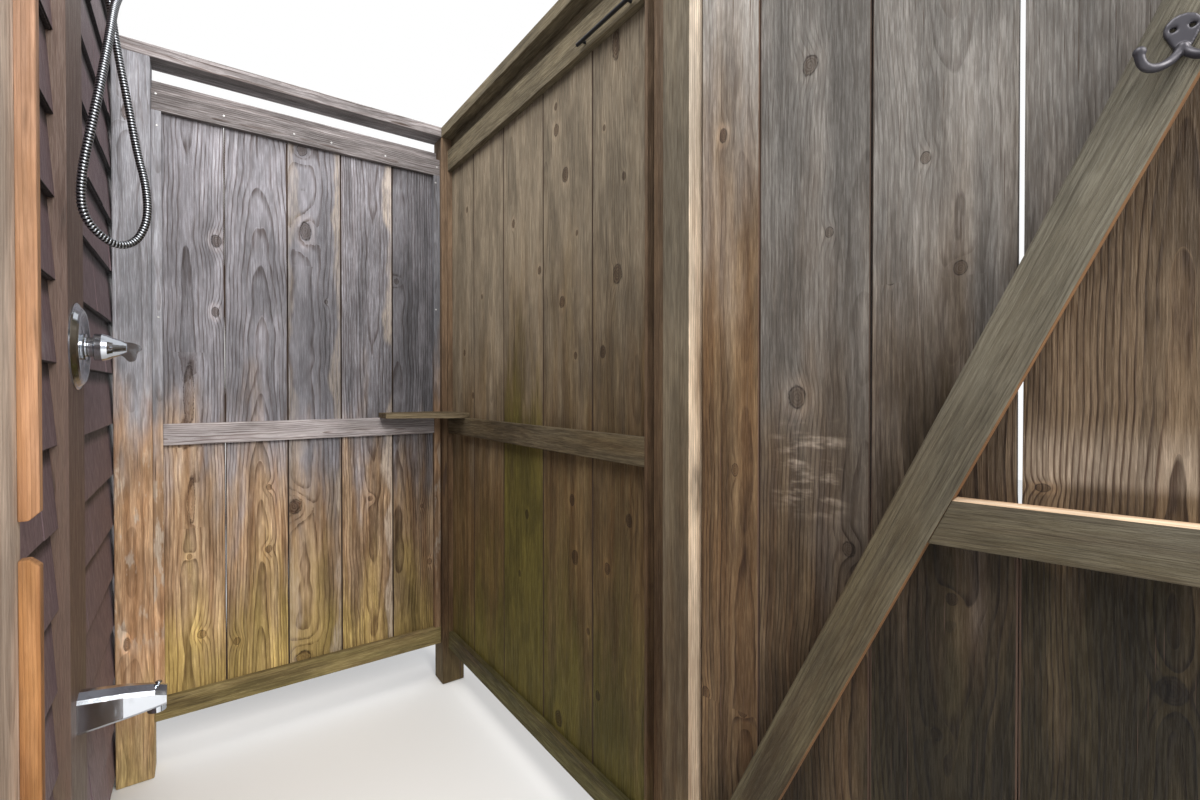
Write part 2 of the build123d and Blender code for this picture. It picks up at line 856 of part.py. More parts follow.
head_z = handset_foot + handset_handle_length
with BuildPart() as hand_shower:
    with Locations((holder_x, plumbing_y, handset_foot)):
        Cone(
            handset_foot_r,
            handset_neck_r,
            2 * holder_height,
            align=(Align.CENTER, Align.CENTER, Align.MIN),
        )
    with Locations((holder_x, plumbing_y, handset_foot + 2 * holder_height)):
        Cylinder(
            handset_neck_r,
            handset_handle_length - 2 * holder_height,
            align=(Align.CENTER, Align.CENTER, Align.MIN),
        )
    head_dir = (cos(radians(handset_tilt)), 0, -sin(radians(handset_tilt)))
    with BuildSketch(Plane(origin=(holder_x - 8, plumbing_y, head_z + 20), z_dir=head_dir)):
        Circle(handset_head_r)
    extrude(amount=handset_head_depth + 16)

# Hose: from the elbow's nut down round a loop, up in front of itself to the handset
hose_start = (elbow_x, plumbing_y, elbow_outlet - nut_length)
hose_end = (holder_x, plumbing_y, handset_foot - nut_length)
hose_points = [
    hose_start,
    (elbow_x, plumbing_y, 2020),
    (161, -14, 1964),
    (170, -24, 1879),
    (190, -35, 1753),
    (202, -41, 1667),
    (218, -63, 1594),
    (222, -84, 1523),
    (204, -96, 1471),
    (173, -129, 1455),
    (137, -167, 1490),
    (137, -185, 1554),
    (154, -187, 1659),
    (162, -175, 1724),
    (172, -139, 1835),
    (175, -100, 1915),
    (182, -56, 1971),
    (holder_x, plumbing_y, 2022),
    hose_end,
]


def corner_radii(points, share):
    """The largest arc that each corner's two runs allow."""
    radii = []
    for before, corner, after in zip(points, points[1:], points[2:]):
        run_in = Vector(*corner) - Vector(*before)
        run_out = Vector(*after) - Vector(*corner)
        half_turn = radians(run_in.get_angle(run_out)) / 2
        radii.append(share * min(run_in.length, run_out.length) / tan(half_turn))
    return radii


hose_radii = corner_radii(hose_points, arc_share)
print("hose radii", [round(radius) for radius in hose_radii])
with BuildPart() as shower_hose:
    with BuildLine() as hose_path:
        FilletPolyline(*hose_points, radius=hose_radii)
    with BuildSketch(Plane(origin=hose_path.line @ 0, z_dir=hose_path.line % 0)):
        Circle(hose_r)
    sweep(path=hose_path.line)
print("hose length", round(sum(edge.length for edge in hose_path.edges())))

pieces = {
    "house_wall": house_wall,
    "wall_shingles_near": wall_shingles_near,
    "wall_shingles_far": wall_shingles_far,
    "plumbing_board": plumbing_board,
    "latch_post": latch_post,
    "gate_stop_strips": gate_stop_strips,
    "back_left_post": back_left_post,
    "corner_post": corner_post,
    "gate_post": gate_post,
    "gate_jamb": gate_jamb,
    "gate_facing": gate_facing,
    "back_boards": back_boards,
    "back_bottom_rail": back_bottom_rail,
    "back_mid_rail": back_mid_rail,
    "back_top_rail": back_top_rail,
    "back_side_strips": back_side_strips,
    "back_outer_rails": back_outer_rails,
    "back_cap_rail": back_cap_rail,
    "right_boards": right_boards,
    "right_bottom_rail": right_bottom_rail,
    "right_mid_rail": right_mid_rail,
    "right_top_rail": right_top_rail,
    "right_side_strips": right_side_strips,
    "right_outer_rails": right_outer_rails,
    "right_cap_rail": right_cap_rail,
    "hanging_bar": hanging_bar,
    "corner_shelf": corner_shelf,
    "gate_boards": gate_boards,
    "gate_bottom_rail": gate_bottom_rail,
    "gate_mid_rail": gate_mid_rail,
    "gate_top_rail": gate_top_rail,
    "gate_brace": gate_brace,
    "hinge_leaves": hinge_leaves,
    "hinge_straps": hinge_straps,
    "gate_bolt": gate_bolt,
    "robe_hook": robe_hook,
    "valve_escutcheon": valve_escutcheon,
    "valve_sleeve": valve_sleeve,
    "valve_handle": valve_handle,
    "tub_spout": tub_spout,
    "diverter_knob": diverter_knob,
    "supply_elbow": supply_elbow,
    "hose_nuts": hose_nuts,
    "hand_shower": hand_shower,
    "shower_hose": shower_hose,
}

os.makedirs("parts", exist_ok=True)
for name, piece in pieces.items():
    piece.part.label = name
    export_step(piece.part, f"parts/{name}.step")
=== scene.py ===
# %% [markdown]
# # Dressing an outdoor shower
# The solids of this shower stall come from a CAD model in metres: X runs out from the house wall, Y runs
# along it towards the back panel, Z is up. This lesson gives them their looks: weathered cedar, stained
# shingles, polished chrome and a ribbed metal hose. Every piece goes where the solids say, so nothing is
# fitted by eye. The first cell loads them.

# %% Load the solids
import math

import bmesh
import bpy
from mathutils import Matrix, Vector, noise


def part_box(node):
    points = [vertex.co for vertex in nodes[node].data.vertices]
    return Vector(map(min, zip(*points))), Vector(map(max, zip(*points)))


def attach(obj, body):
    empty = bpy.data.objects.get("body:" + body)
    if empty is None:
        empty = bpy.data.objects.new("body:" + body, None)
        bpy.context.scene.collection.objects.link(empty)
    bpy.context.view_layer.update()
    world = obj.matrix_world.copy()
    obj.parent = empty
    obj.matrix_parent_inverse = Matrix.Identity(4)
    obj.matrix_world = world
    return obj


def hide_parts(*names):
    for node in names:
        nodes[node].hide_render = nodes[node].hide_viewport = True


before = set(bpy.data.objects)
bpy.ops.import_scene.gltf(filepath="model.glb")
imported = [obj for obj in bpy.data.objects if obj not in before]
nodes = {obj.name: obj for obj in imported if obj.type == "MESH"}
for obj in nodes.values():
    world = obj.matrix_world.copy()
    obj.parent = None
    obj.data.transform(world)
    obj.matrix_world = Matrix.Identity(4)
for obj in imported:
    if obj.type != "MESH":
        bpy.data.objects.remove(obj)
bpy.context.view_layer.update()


# %% [markdown]
# Four small helpers serve every piece that follows. One sets several values of a thing at once, one puts an
# object into the scene, one turns a mesh under construction into the mesh of an object, and one closes the gap
# between two rings of vertices with faces.

# %% Helpers for objects
def set_all(thing, **values):
    """Sets values of a thing by name and returns it."""
    for name, value in values.items():
        setattr(thing, name, value)
    return thing


def add_object(name, data):
    """Puts an object with this mesh, camera or lamp into the scene."""
    thing = bpy.data.objects.new(name, data)
    bpy.context.scene.collection.objects.link(thing)
    return thing


def finished(mesh, name):
    """The named mesh that a mesh under construction turns into."""
    data = bpy.data.meshes.new(name)
    mesh.to_mesh(data)
    mesh.free()
    return data


def join_rings(mesh, first, second):
    """Faces between two closed rings that have the same number of vertices."""
    for step, corner in enumerate(first):
        following = (step + 1) % len(first)
        mesh.faces.new((corner, first[following], second[following], second[step]))


# %% [markdown]
# ## The camera
# The picture was taken from inside the doorway, at chest height, with a wide lens. A camera's place can be
# worked out from the directions of level and upright edges, because those meet at vanishing points. Here the
# uprights stay upright in the picture, so the camera is level but for half a degree, and a small vertical
# shift brings the horizon to its row. The 36 mm sensor and a 16.4 mm lens give the same spread of view.

# %% Place the camera
tilt_down, turned_right = 0.48, 36.05
camera_data = bpy.data.cameras.new("doorway_camera")
set_all(camera_data, sensor_width=36, lens=16.42, shift_y=-0.005, clip_start=0.01)
camera = add_object("doorway_camera", camera_data)
camera.location = (0.305, -1.48, 1.19)
camera.rotation_euler = (math.radians(90 - tilt_down), 0, math.radians(-turned_right))
bpy.context.scene.camera = camera
print("camera at", tuple(round(value, 3) for value in camera.location))

# %% [markdown]
# ## The shower hose
# A shower hose is a long spring of interlocked chrome bands, so it hangs in one smooth loop and shows a fine
# ring every few millimetres. It could be a bevelled curve with a striped material, but real rings catch the
# light one by one. So a NURBS curve gives the line of the hose, and small rings of mesh are set along the
# points that the curve itself gives. The route's points are the same ones the solid hose was drawn with.

# %% Draw the hose's line
hose_route = [
    (0.154, -0.008, 2.062),
    (0.154, -0.008, 2.020),
    (0.161, -0.014, 1.964),
    (0.170, -0.024, 1.879),
    (0.190, -0.035, 1.753),
    (0.202, -0.041, 1.667),
    (0.218, -0.063, 1.594),
    (0.222, -0.084, 1.523),
    (0.204, -0.096, 1.471),
    (0.173, -0.129, 1.455),
    (0.137, -0.167, 1.490),
    (0.137, -0.185, 1.554),
    (0.154, -0.187, 1.659),
    (0.162, -0.175, 1.724),
    (0.172, -0.139, 1.835),
    (0.175, -0.100, 1.915),
    (0.182, -0.056, 1.971),
    (0.184, -0.008, 2.022),
    (0.184, -0.008, 2.060),
]
hose_line = set_all(bpy.data.curves.new("hose_line", "CURVE"), dimensions="3D", resolution_u=24)
hose_spline = hose_line.splines.new("NURBS")
hose_spline.points.add(len(hose_route) - 1)
for point, place in zip(hose_spline.points, hose_route):
    point.co = (*place, 1)
set_all(hose_spline, order_u=3, use_endpoint_u=True)
hose_guide = bpy.data.objects.new("hose_line", hose_line)
hose_mesh = bpy.data.meshes.new_from_object(hose_guide)
hose_points = [vertex.co.copy() for vertex in hose_mesh.vertices]
hose_steps = [(b - a).length for a, b in zip(hose_points, hose_points[1:])]
print("hose line", len(hose_points), "points,", round(sum(hose_steps), 3), "m")


# %% [markdown]
# A ring is one band of the spring: it bulges to the full 14 mm and pulls in at each joint. `sweep_rings`
# walks along the line, carries a frame with it that never twists, and joins every circle to the next. The
# narrow circles between two bands get the value 1 in an attribute named "groove", which the chrome later
# reads to paint shade into the grooves.

# %% Set the rings along the line
def sweep_rings(points, profile, pitch, around=18):
    """A tube along points whose radius follows profile (share of a pitch, radius, groove)."""
    lengths = [0]
    for a, b in zip(points, points[1:]):
        lengths.append(lengths[-1] + (b - a).length)
    count = round(lengths[-1] / pitch)
    stations = [(band + share) * lengths[-1] / count for band in range(count) for share, _, _ in profile]
    mesh = bmesh.new()
    groove = mesh.verts.layers.float.new("groove")
    side = Vector((0, 1, 0))
    span = 0
    last = None
    for index, distance in enumerate(stations):
        while span < len(points) - 2 and lengths[span + 1] < distance:
            span += 1
        along = (distance - lengths[span]) / max(lengths[span + 1] - lengths[span], 1e-9)
        centre = points[span].lerp(points[span + 1], along)
        ahead = (points[min(span + 2, len(points) - 1)] - points[max(span - 1, 0)]).normalized()
        side = (side - ahead * side.dot(ahead)).normalized()
        up = ahead.cross(side)
        _, radius, depth = profile[index % len(profile)]
        circle = []
        for step in range(around):
            turn = 2 * math.pi * step / around
            vertex = mesh.verts.new(centre + radius * (math.cos(turn) * side + math.sin(turn) * up))
            vertex[groove] = depth
            circle.append(vertex)
        if last:
            join_rings(mesh, last, circle)
        last = circle
    tube = finished(mesh, "shower_hose_rings")
    tube.shade_smooth()
    return tube, count


ring_profile = [
    (0.00, 0.0056, 1.0),
    (0.18, 0.0061, 1.0),
    (0.32, 0.0069, 0.1),
    (0.50, 0.0070, 0.0),
    (0.72, 0.0069, 0.1),
    (0.86, 0.0061, 1.0),
]
hose_tube, ring_count = sweep_rings(hose_points, ring_profile, pitch=0.0058)
hose = add_object("shower_hose_rings", hose_tube)
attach(hose, "stall")
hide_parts("shower_hose")
print("hose rings", ring_count)


# %% [markdown]
# ## Helpers for materials
# A material here is a recipe of nodes. `put` adds one node and wires or sets its inputs, so that a recipe
# reads in the order in which it works. What it returns is a `Wire`, a value on its way to the next node:
# `a * b` on wires adds a Math node that multiplies, so a recipe can be written as plain arithmetic. The other
# helpers name the steps that come up most: mixing two colours, stretching a range of values, a window of
# values, and noise that is drawn out along the grain.

# %% Node helpers
class Wire:
    """A value on its way between nodes; arithmetic with it adds a Math node."""

    def __init__(self, socket):
        self.socket = socket
        self.tree = socket.id_data

    def __add__(self, other):
        return sums("ADD", self, other)

    def __sub__(self, other):
        return sums("SUBTRACT", self, other)

    def __rsub__(self, other):
        return sums("SUBTRACT", other, self)

    def __mul__(self, other):
        return sums("MULTIPLY", self, other)

    def __truediv__(self, other):
        return sums("DIVIDE", self, other)

    def __pow__(self, other):
        return sums("POWER", self, other)


def fill(node, values):
    """Sets or links the inputs of a node."""
    for key, value in values.items():
        if isinstance(value, Wire):
            value.tree.links.new(value.socket, node.inputs[key])
        else:
            node.inputs[key].default_value = value
    return node


def put(tree, kind, values=(), out=0, **settings):
    """Adds a node, sets or links its inputs, and returns one of its outputs."""
    node = set_all(tree.nodes.new("ShaderNode" + kind), **settings)
    return Wire(fill(node, dict(values)).outputs[out])


def sums(operation, *values):
    """One step of arithmetic."""
    tree = next(value.tree for value in values if isinstance(value, Wire))
    return put(tree, "Math", enumerate(values), operation=operation)


def scaled(value, factor, start):
    """A value times a factor, counted from start."""
    return sums("MULTIPLY_ADD", value, factor, start)


def clamped(value):
    """The same sum, kept between 0 and 1."""
    value.socket.node.use_clamp = True
    return value


def length(first, second):
    """The long side of a right-angled triangle."""
    return sums("SQRT", first ** 2.0 + second ** 2.0)


def parts(value, kind="XYZ"):
    """The three numbers in a vector or a colour."""
    return [Wire(socket) for socket in put(value.tree, "Separate" + kind, {0: value}).socket.node.outputs]


def attribute(tree, name, out=1):
    """An attribute of the mesh as a vector, or with out=2 as one number."""
    return put(tree, "Attribute", out=out, attribute_name=name)


def blend(share, first, second, way="MIX"):
    """Two colours mixed by a share from 0 to 1."""
    first, second = ((*colour, 1) if isinstance(colour, tuple) else colour for colour in (first, second))
    return put(share.tree, "Mix", {0: share, 6: first, 7: second}, out=2, data_type="RGBA", blend_type=way)


def tint(share, body, colour):
    """A colour multiplied by another one, by a share from 0 to 1."""
    return blend(share, body, colour, "MULTIPLY")


def dim(vector, factor):
    """A colour or a place times one number."""
    return put(vector.tree, "VectorMath", {0: vector, 3: factor}, operation="SCALE")


def spread(value, low, high, start=0.0, end=1.0):
    """A value eased from start to end while it goes from low to high."""
    sockets = {0: value, 1: low, 2: high, 3: start, 4: end}
    return put(value.tree, "MapRange", sockets, interpolation_type="SMOOTHSTEP")


def window(value, rise_from, rise_to, fall_from, fall_to):
    """Goes from 0 up to 1 and back down to 0 while a value passes by."""
    return spread(value, rise_from, rise_to) * spread(value, fall_from, fall_to, 1.0, 0.0)


def noise_at(place, scale, detail=2.0, rough=0.5, out=0):
    """Cloudy noise around 0.5 at a place that is already stretched."""
    sockets = {"Vector": place, "Scale": scale, "Detail": detail, "Roughness": rough}
    return put(place.tree, "TexNoise", sockets, out=out)


def stretch(place, scales, shift=None):
    """A place scaled on its three axes, so that noise turns into streaks along the grain."""
    moved = put(place.tree, "VectorMath", {0: place, 1: scales}, operation="MULTIPLY")
    if shift is None:
        return moved
    step = put(place.tree, "CombineXYZ", {0: shift, 1: shift, 2: shift})
    return put(place.tree, "VectorMath", {0: moved, 1: step}, operation="ADD")


def grain_noise(place, scales, detail=2.0, rough=0.5, seed=None, out=0):
    """Noise scaled by (across, along) or (across, depth, along) the grain."""
    return noise_at(stretch(place, (scales[0], scales[-2], scales[-1]), seed), 1.0, detail, rough, out)


def raised(height, strength, distance):
    """A bump from a height."""
    return put(height.tree, "Bump", {"Strength": strength, "Distance": distance, "Height": height})


def new_material(name):
    """A material, its node tree and its shader."""
    material = bpy.data.materials.new(name)
    material.use_nodes = True
    return material, material.node_tree, material.node_tree.nodes["Principled BSDF"]


def new_group(name, inputs):
    """A node group with named inputs, and those inputs as wires."""
    group = bpy.data.node_groups.new(name, "ShaderNodeTree")
    for label, value in inputs.items():
        kind = "Float"
        if isinstance(value, tuple):
            kind = "Color" if len(value) == 4 else "Vector"
        socket = group.interface.new_socket(name=label, in_out="INPUT", socket_type="NodeSocket" + kind)
        socket.default_value = value
    given = group.nodes.new("NodeGroupInput").outputs
    return group, {label: Wire(given[label]) for label in inputs}


def close_group(group, results):
    """Names and wires what a group gives out."""
    for label in results:
        kind = "Color" if label == "Color" else "Float"
        group.interface.new_socket(name=label, in_out="OUTPUT", socket_type="NodeSocket" + kind)
    fill(group.nodes.new("NodeGroupOutput"), results)
    print("group", group.name, len(group.nodes), "nodes")


def use_group(tree, group, values):
    """Places a group in a tree, sets or links its inputs, and returns its outputs by name."""
    node = tree.nodes.new("ShaderNodeGroup")
    node.node_tree = group
    return {socket.name: Wire(socket) for socket in fill(node, values).outputs}


# %% [markdown]
# ## How sawn cedar gets its pattern
# A board is a slice of a log, so its lines are the log's growth rings, cut lengthways. A flat picture of
# lines could be stretched over the boards, but then the sides and ends would not agree with the face. This
# group instead works out how far each point lies from the log's centre, the pith, and counts the rings
# outwards. A pith that leans a little gives the nested arches of a flat-sawn board for free. The thin dark
# latewood line sits at the end of each ring. "Swell" pushes the count up round a knot, so the lines bend
# round it as they do in a tree.

# %% Growth rings as a node group
no_place = (0.0, 0.0, 0.0)
rings_group, given = new_group(
    "Growth rings",
    {"Grain": no_place, "Pith": (0.0, 0.05, 0.01), "Seed": 0.0, "Spacing": 0.004, "Waver": 0.02, "Swell": 0.0},
)
grain, seed = given["Grain"], given["Seed"]
across, depth, along = parts(grain)
pith_across, pith_depth, pith_lean = parts(given["Pith"])
bends = parts(grain_noise(grain, (1.5, 2.6), 3.0, seed=seed, out=1), "Color")
bend_across = (bends[0] - 0.5) * given["Waver"]
bend_depth = (bends[1] - 0.5) * given["Waver"]
from_pith = across - pith_across + bend_across
under_face = scaled(along, pith_lean, pith_depth) + depth + bend_depth
lump = grain_noise(grain, (26.0, 5.0), 1.0, seed=seed)
count = length(from_pith, under_face) / given["Spacing"] + lump * 0.6 + given["Swell"]
worn = grain_noise(grain, (120.0, 8.0), seed=seed)
line = window(sums("FRACT", count), 0.5, 0.92, 0.94, 1.0) * spread(worn, 0.3, 0.62, 0.3, 1.0)
whole = sums("FLOOR", count) + seed
tone = put(rings_group, "TexWhiteNoise", {"W": whole}, noise_dimensions="1D")
close_group(rings_group, {"Latewood": line, "Ring tone": tone})

# %% [markdown]
# ## Knots
# A knot is a branch that the board cuts through. Each part of a board carries the place and size of its
# nearest knot in an attribute, so one group draws all of them: a dark core with a darker rim of bark, a pale
# collar where the grain closes round it, and the swell that bends the growth rings outside. A core that is
# squeezed long along the grain gives the dark lenses of a board cut just under a ring's surface.

# %% Knots as a node group
knot_group, given = new_group("Knot", {"Grain": no_place, "Knot": no_place, "Squeeze": 0.8})
grain = given["Grain"]
across, _, along = parts(grain)
knot_across, knot_along, knot_size = parts(given["Knot"])
lump = grain_noise(grain, (62.0, 48.0))
away = length(across - knot_across, (along - knot_along) * given["Squeeze"])
away = away / sums("MAXIMUM", knot_size, 0.0001) + (lump - 0.5) * 0.55
near = sums("EXPONENT", away ** 2.0 * -0.2)
inner = spread(sums("PINGPONG", scaled(away, 3.2, lump), 0.5), 0.0, 0.5, 0.55, 1.0)
bark = grain_noise(grain, (190.0, 150.0))
close_group(
    knot_group,
    {
        "Swell": near * (knot_size * 150.0),
        "Core": spread(away, 0.8, 1.0, 1.0, 0.0) * inner,
        "Rim": window(away, 0.78, 0.94, 0.97, 1.1) * spread(bark, 0.35, 0.6, 0.4, 1.0),
        "Collar": window(away, 0.95, 1.25, 1.3, 2.4),
    },
)

# %% [markdown]
# ## Fibres, flecks and checks
# Rain washes the soft wood out between the fibres, so an old board is full of short pale and dark flecks, a
# few millimetres wide and a few centimetres long, with fine cracks, called checks, along the grain. All of it
# is noise that is stretched along the board by different amounts: fine for the hairs and the flecks, broader
# for long streaks and blotches of colour, and one whose extremes alone are kept as cracks.

# %% Fibres as a node group
fibre_group, given = new_group("Cedar fibre", {"Grain": no_place, "Seed": 0.0, "Fineness": 1.0})
broad = given["Grain"]
fine = dim(broad, given["Fineness"])
fibres = {}
for label, place, scales, detail, rough, low, high in (
    ("Fleck", fine, (250.0, 18.0), 4.0, 0.68, 0.38, 0.62),
    ("Streak", broad, (44.0, 1.7), 4.0, 0.66, 0.32, 0.68),
    ("Check", fine, (300.0, 60.0, 4.5), 1.0, 0.5, 0.71, 0.77),
    ("Hair", fine, (620.0, 9.0), 2.0, 0.5, 0.36, 0.64),
    ("Blotch", broad, (14.0, 3.5), 4.0, 0.6, 0.32, 0.68),
):
    fibres[label] = spread(grain_noise(place, scales, detail, rough, given["Seed"]), low, high)
close_group(fibre_group, fibres)

# %% [markdown]
# ## Weather
# The top of the stall gets sun and turns silver grey. Lower down the wood keeps its honey brown, and near the
# ground, where it stays wet, algae tint it yellow green. On the gate boards the same blend paints shade instead,
# with a near-black colour low on the gate. A straight blend by height would look painted, so the height is
# first shifted by broad noise that is long along the grain, and each board adds its own shift.

# %% Weather as a node group
weather_limits = {"Grey from": 0.8, "Grey to": 1.5, "Algae to": 0.7}
weather_group, given = new_group(
    "Weather",
    {"Grain": no_place, "Height": 0.0, "Seed": 0.0, **weather_limits, "Grey shift": 0.0, "Algae shift": 0.0},
)
patch = grain_noise(given["Grain"], (13.0, 2.2), 3.0, 0.6, given["Seed"])
level = given["Height"] + (patch - 0.5) * 1.1
damp = given["Algae to"] - (level - given["Algae shift"])
close_group(
    weather_group,
    {
        "Grey": spread(level + given["Grey shift"], given["Grey from"], given["Grey to"]),
        "Algae": spread(damp, 0.0, 0.55),
    },
)

# %% [markdown]
# ## The whole cedar surface
# This group joins the four before it into one surface with a handful of values that a maker would name: the
# silver and the honey of this wood, where the grey starts, how strong the rings are. It puts out a colour, a
# roughness and a height for the bump. The pieces hand it their own grain through attributes. "grain" is the
# place along the board's own axes, "pith" says where its log's centre is, and "place" how near a point is to
# the board's edges. "knot" holds the nearest knot's place and size, and "eye" its looks. "tone" brightens,
# greys or greens one board against the next, and "looks" sets its pale sapwood edges and how coarse it is.

# %% Cedar surface as a node group
cedar_group, given = new_group(
    "Cedar surface",
    {
        "Silver": (0.34, 0.33, 0.34, 1.0),
        "Honey": (0.36, 0.23, 0.12, 1.0),
        "Algae": (0.28, 0.24, 0.05, 1.0),
        "Deep": (0.05, 0.03, 0.02, 1.0),
        "Sapwood": (0.62, 0.52, 0.42, 1.0),
        "Fresh wood": (0.10, 0.07, 0.043, 1.0),
        **weather_limits,
        "Spacing": 0.005,
        "Waver": 0.03,
        "Rings": 0.5,
        "Flecks": 0.4,
        "Fineness": 1.0,
        "Joint": 0.0,
        "Fresh": 0.0,
        "Scrape": 0.0,
        "Painted mid shade": 0.0,
    },
)
grain = attribute(cedar_group, "grain")
seed = attribute(cedar_group, "seed", 2)
height = parts(put(cedar_group, "TexCoord", out=3))[2]
side = parts(attribute(cedar_group, "place"))[0]
bright, grey_shift, algae_shift = parts(attribute(cedar_group, "tone"))
sap_low, sap_high, coarse = parts(attribute(cedar_group, "looks"))
pale_eye, dark_eye, squeeze = parts(attribute(cedar_group, "eye"))
own = {"Grain": grain, "Seed": seed}
knot = use_group(
    cedar_group, knot_group, {"Grain": grain, "Knot": attribute(cedar_group, "knot"), "Squeeze": squeeze}
)
rings = use_group(
    cedar_group,
    rings_group,
    {
        **own,
        "Pith": attribute(cedar_group, "pith"),
        "Spacing": given["Spacing"],
        "Waver": given["Waver"],
        "Swell": knot["Swell"],
    },
)
fibre = use_group(cedar_group, fibre_group, {**own, "Fineness": given["Fineness"]})
limits = {label: given[label] for label in weather_limits}
weather = use_group(
    cedar_group,
    weather_group,
    {**own, "Height": height, **limits, "Grey shift": grey_shift, "Algae shift": algae_shift},
)

fresh, fleck, sapwood, deep = given["Fresh"], fibre["Fleck"], given["Sapwood"], given["Deep"]
honey = tint(fibre["Streak"], given["Honey"], (0.70, 0.58, 0.48))
body = blend(clamped(weather["Grey"] - fresh), honey, given["Silver"])
body = blend(fresh * 0.85, body, given["Fresh wood"])
body = blend(weather["Algae"] * scaled(fresh, -0.88, 0.88), body, given["Algae"])
streaks = (0.4 - fibre["Streak"]) * given["Flecks"]
body = dim(body, scaled(streaks, 0.6, 1.0))
body = dim(body, spread(fibre["Blotch"], 0.0, 1.0, 0.78, 1.22))
body = blend(given["Scrape"], body, sapwood)
ring_share = given["Rings"] * scaled(fresh, 1.4, 1.0)
body = blend(ring_share, body, dim(body, spread(rings["Ring tone"], 0.0, 1.0, 0.78, 1.12)))
body = tint(clamped(rings["Latewood"] * ring_share), body, (0.34, 0.28, 0.25))
fleck_share = given["Flecks"] * coarse
for share, colour in (
    (1.0 - fleck, (0.55, 0.50, 0.47)),
    (spread(fleck, 0.72, 1.0), (1.25, 1.25, 1.25)),
    (1.0 - fibre["Hair"], (0.66, 0.63, 0.60)),
):
    body = tint(clamped(share * fleck_share), body, colour)
edge = side + scaled(grain_noise(grain, (5.0, 4.0), seed=seed), 1.8, -0.9)
sap_share = clamped(spread(edge, 0.72, 0.9) * sap_high + spread(edge, -0.72, -0.9) * sap_low)
body = blend(sap_share * spread(fleck, 0.2, 0.7, 0.4, 0.85), body, sapwood)
body = tint(knot["Collar"] * pale_eye, body, (1.5, 1.45, 1.4))
body = tint(knot["Core"], body, blend(dark_eye, (0.92, 0.85, 0.78), (0.33, 0.24, 0.19)))
body = tint(knot["Rim"] * 0.9, body, (0.25, 0.20, 0.17))
body = blend(fibre["Check"] * 0.8, body, deep)
body = blend(spread(sums("ABSOLUTE", side), 0.984, 0.998) * given["Joint"], body, deep)
body = dim(body, bright)
# Painted shade: a band at mid height is painted darker, for the shade on the middle of the back boards below
# their lit tops.
painted_mid_shade = window(height, 0.95, 1.2, 1.45, 1.95)
body = dim(body, scaled(painted_mid_shade * given["Painted mid shade"], -1.0, 1.0))
relief = scaled(rings["Latewood"], 0.3, fleck * 0.4)
relief = relief + fibre["Hair"] * 0.3 - fibre["Check"] * 0.8 - knot["Rim"] * 0.3
close_group(
    cedar_group, {"Color": body, "Roughness": spread(fleck, 0.0, 1.0, 0.92, 0.70), "Height": relief}
)


# %% [markdown]
# Each kind of timber in the stall gets a material of its own from that group. The shader stays in the
# material: cedar is rough and has almost no shine, so its specular level is low, and a bump node turns the
# height into raised grain about a millimetre deep. Some timbers also carry marks. Part of the gate is still
# fresh under its brace, a hand has scuffed it, and the post has lost its dark surface in places. Each mark is
# a share that is worked out from the place on the board and handed to the surface.

# %% Marks on the gate and the post
def inner_face(tree):
    """One on the side of a board that faces into the stall, and nothing on its outer side."""
    return spread(parts(attribute(tree, "place"))[1], 0.3, 0.9)


def under_brace(tree):
    """The part of the gate below its brace and above its middle rail, which is still fresh."""
    place = attribute(tree, "grain")
    along, _, level = parts(place)
    below = scaled(along, 2.05, 0.225) - level
    share = spread(below, -0.03, 0.0) * spread(below, 0.15, 0.75, 1.0, 0.3)
    lowest = level + scaled(grain_noise(place, (9.0, 3.0), 3.0), 0.2, -0.1)
    return share * spread(lowest, 0.98, 1.04) * inner_face(tree)


def scuffs(tree):
    """Pale scuff marks across the gate at the height of a hand, and at the foot of the fresh part."""
    place = attribute(tree, "grain")
    along, _, level = parts(place)
    marks = grain_noise(place, (13.0, 40.0), 3.0, 0.6)
    hand = window(level, 0.96, 1.02, 1.1, 1.16) * spread(along, 0.13, 0.17) * spread(along, 0.24, 0.28, 1.0, 0.0)
    rest = window(level, 1.06, 1.08, 1.1, 1.16) * spread(along, 0.47, 0.5)
    return clamped(spread(marks, 0.5, 0.72) * hand * 0.4 + rest * 0.2) * inner_face(tree)


def ring_fade(tree):
    """Growth rings that show plainly low on the gate and faintly where it is silvered."""
    return spread(parts(attribute(tree, "grain"))[2], 0.9, 1.3, 1.0, 0.42)


def worn_patches(tree):
    """Pale patches on the post where the dark surface has come off."""
    place = attribute(tree, "grain")
    patch = grain_noise(place, (38.0, 9.0), 4.0, 0.6)
    return spread(patch, 0.52, 0.6) * (window(parts(place)[2], 0.35, 0.5, 0.85, 1.1) * 0.8)


# %% Cedar materials
marks_on = {
    "gate_board": {"Fresh": under_brace, "Scrape": scuffs, "Rings": ring_fade},
    "post": {"Scrape": worn_patches},
}


def cedar_material(name, bump, values):
    """A weathered cedar finish from the shared surface, with its own values and marks."""
    material, tree, shader = new_material(name + "_cedar")
    marks = {label: mark(tree) for label, mark in marks_on.get(name, {}).items()}
    surface = use_group(tree, cedar_group, {**values, **marks})
    normal = raised(surface["Height"], bump, 0.0016)
    fill(shader, {"Base Color": surface["Color"], "Roughness": surface["Roughness"], "Normal": normal})
    shader.inputs["Specular IOR Level"].default_value = 0.25
    return material


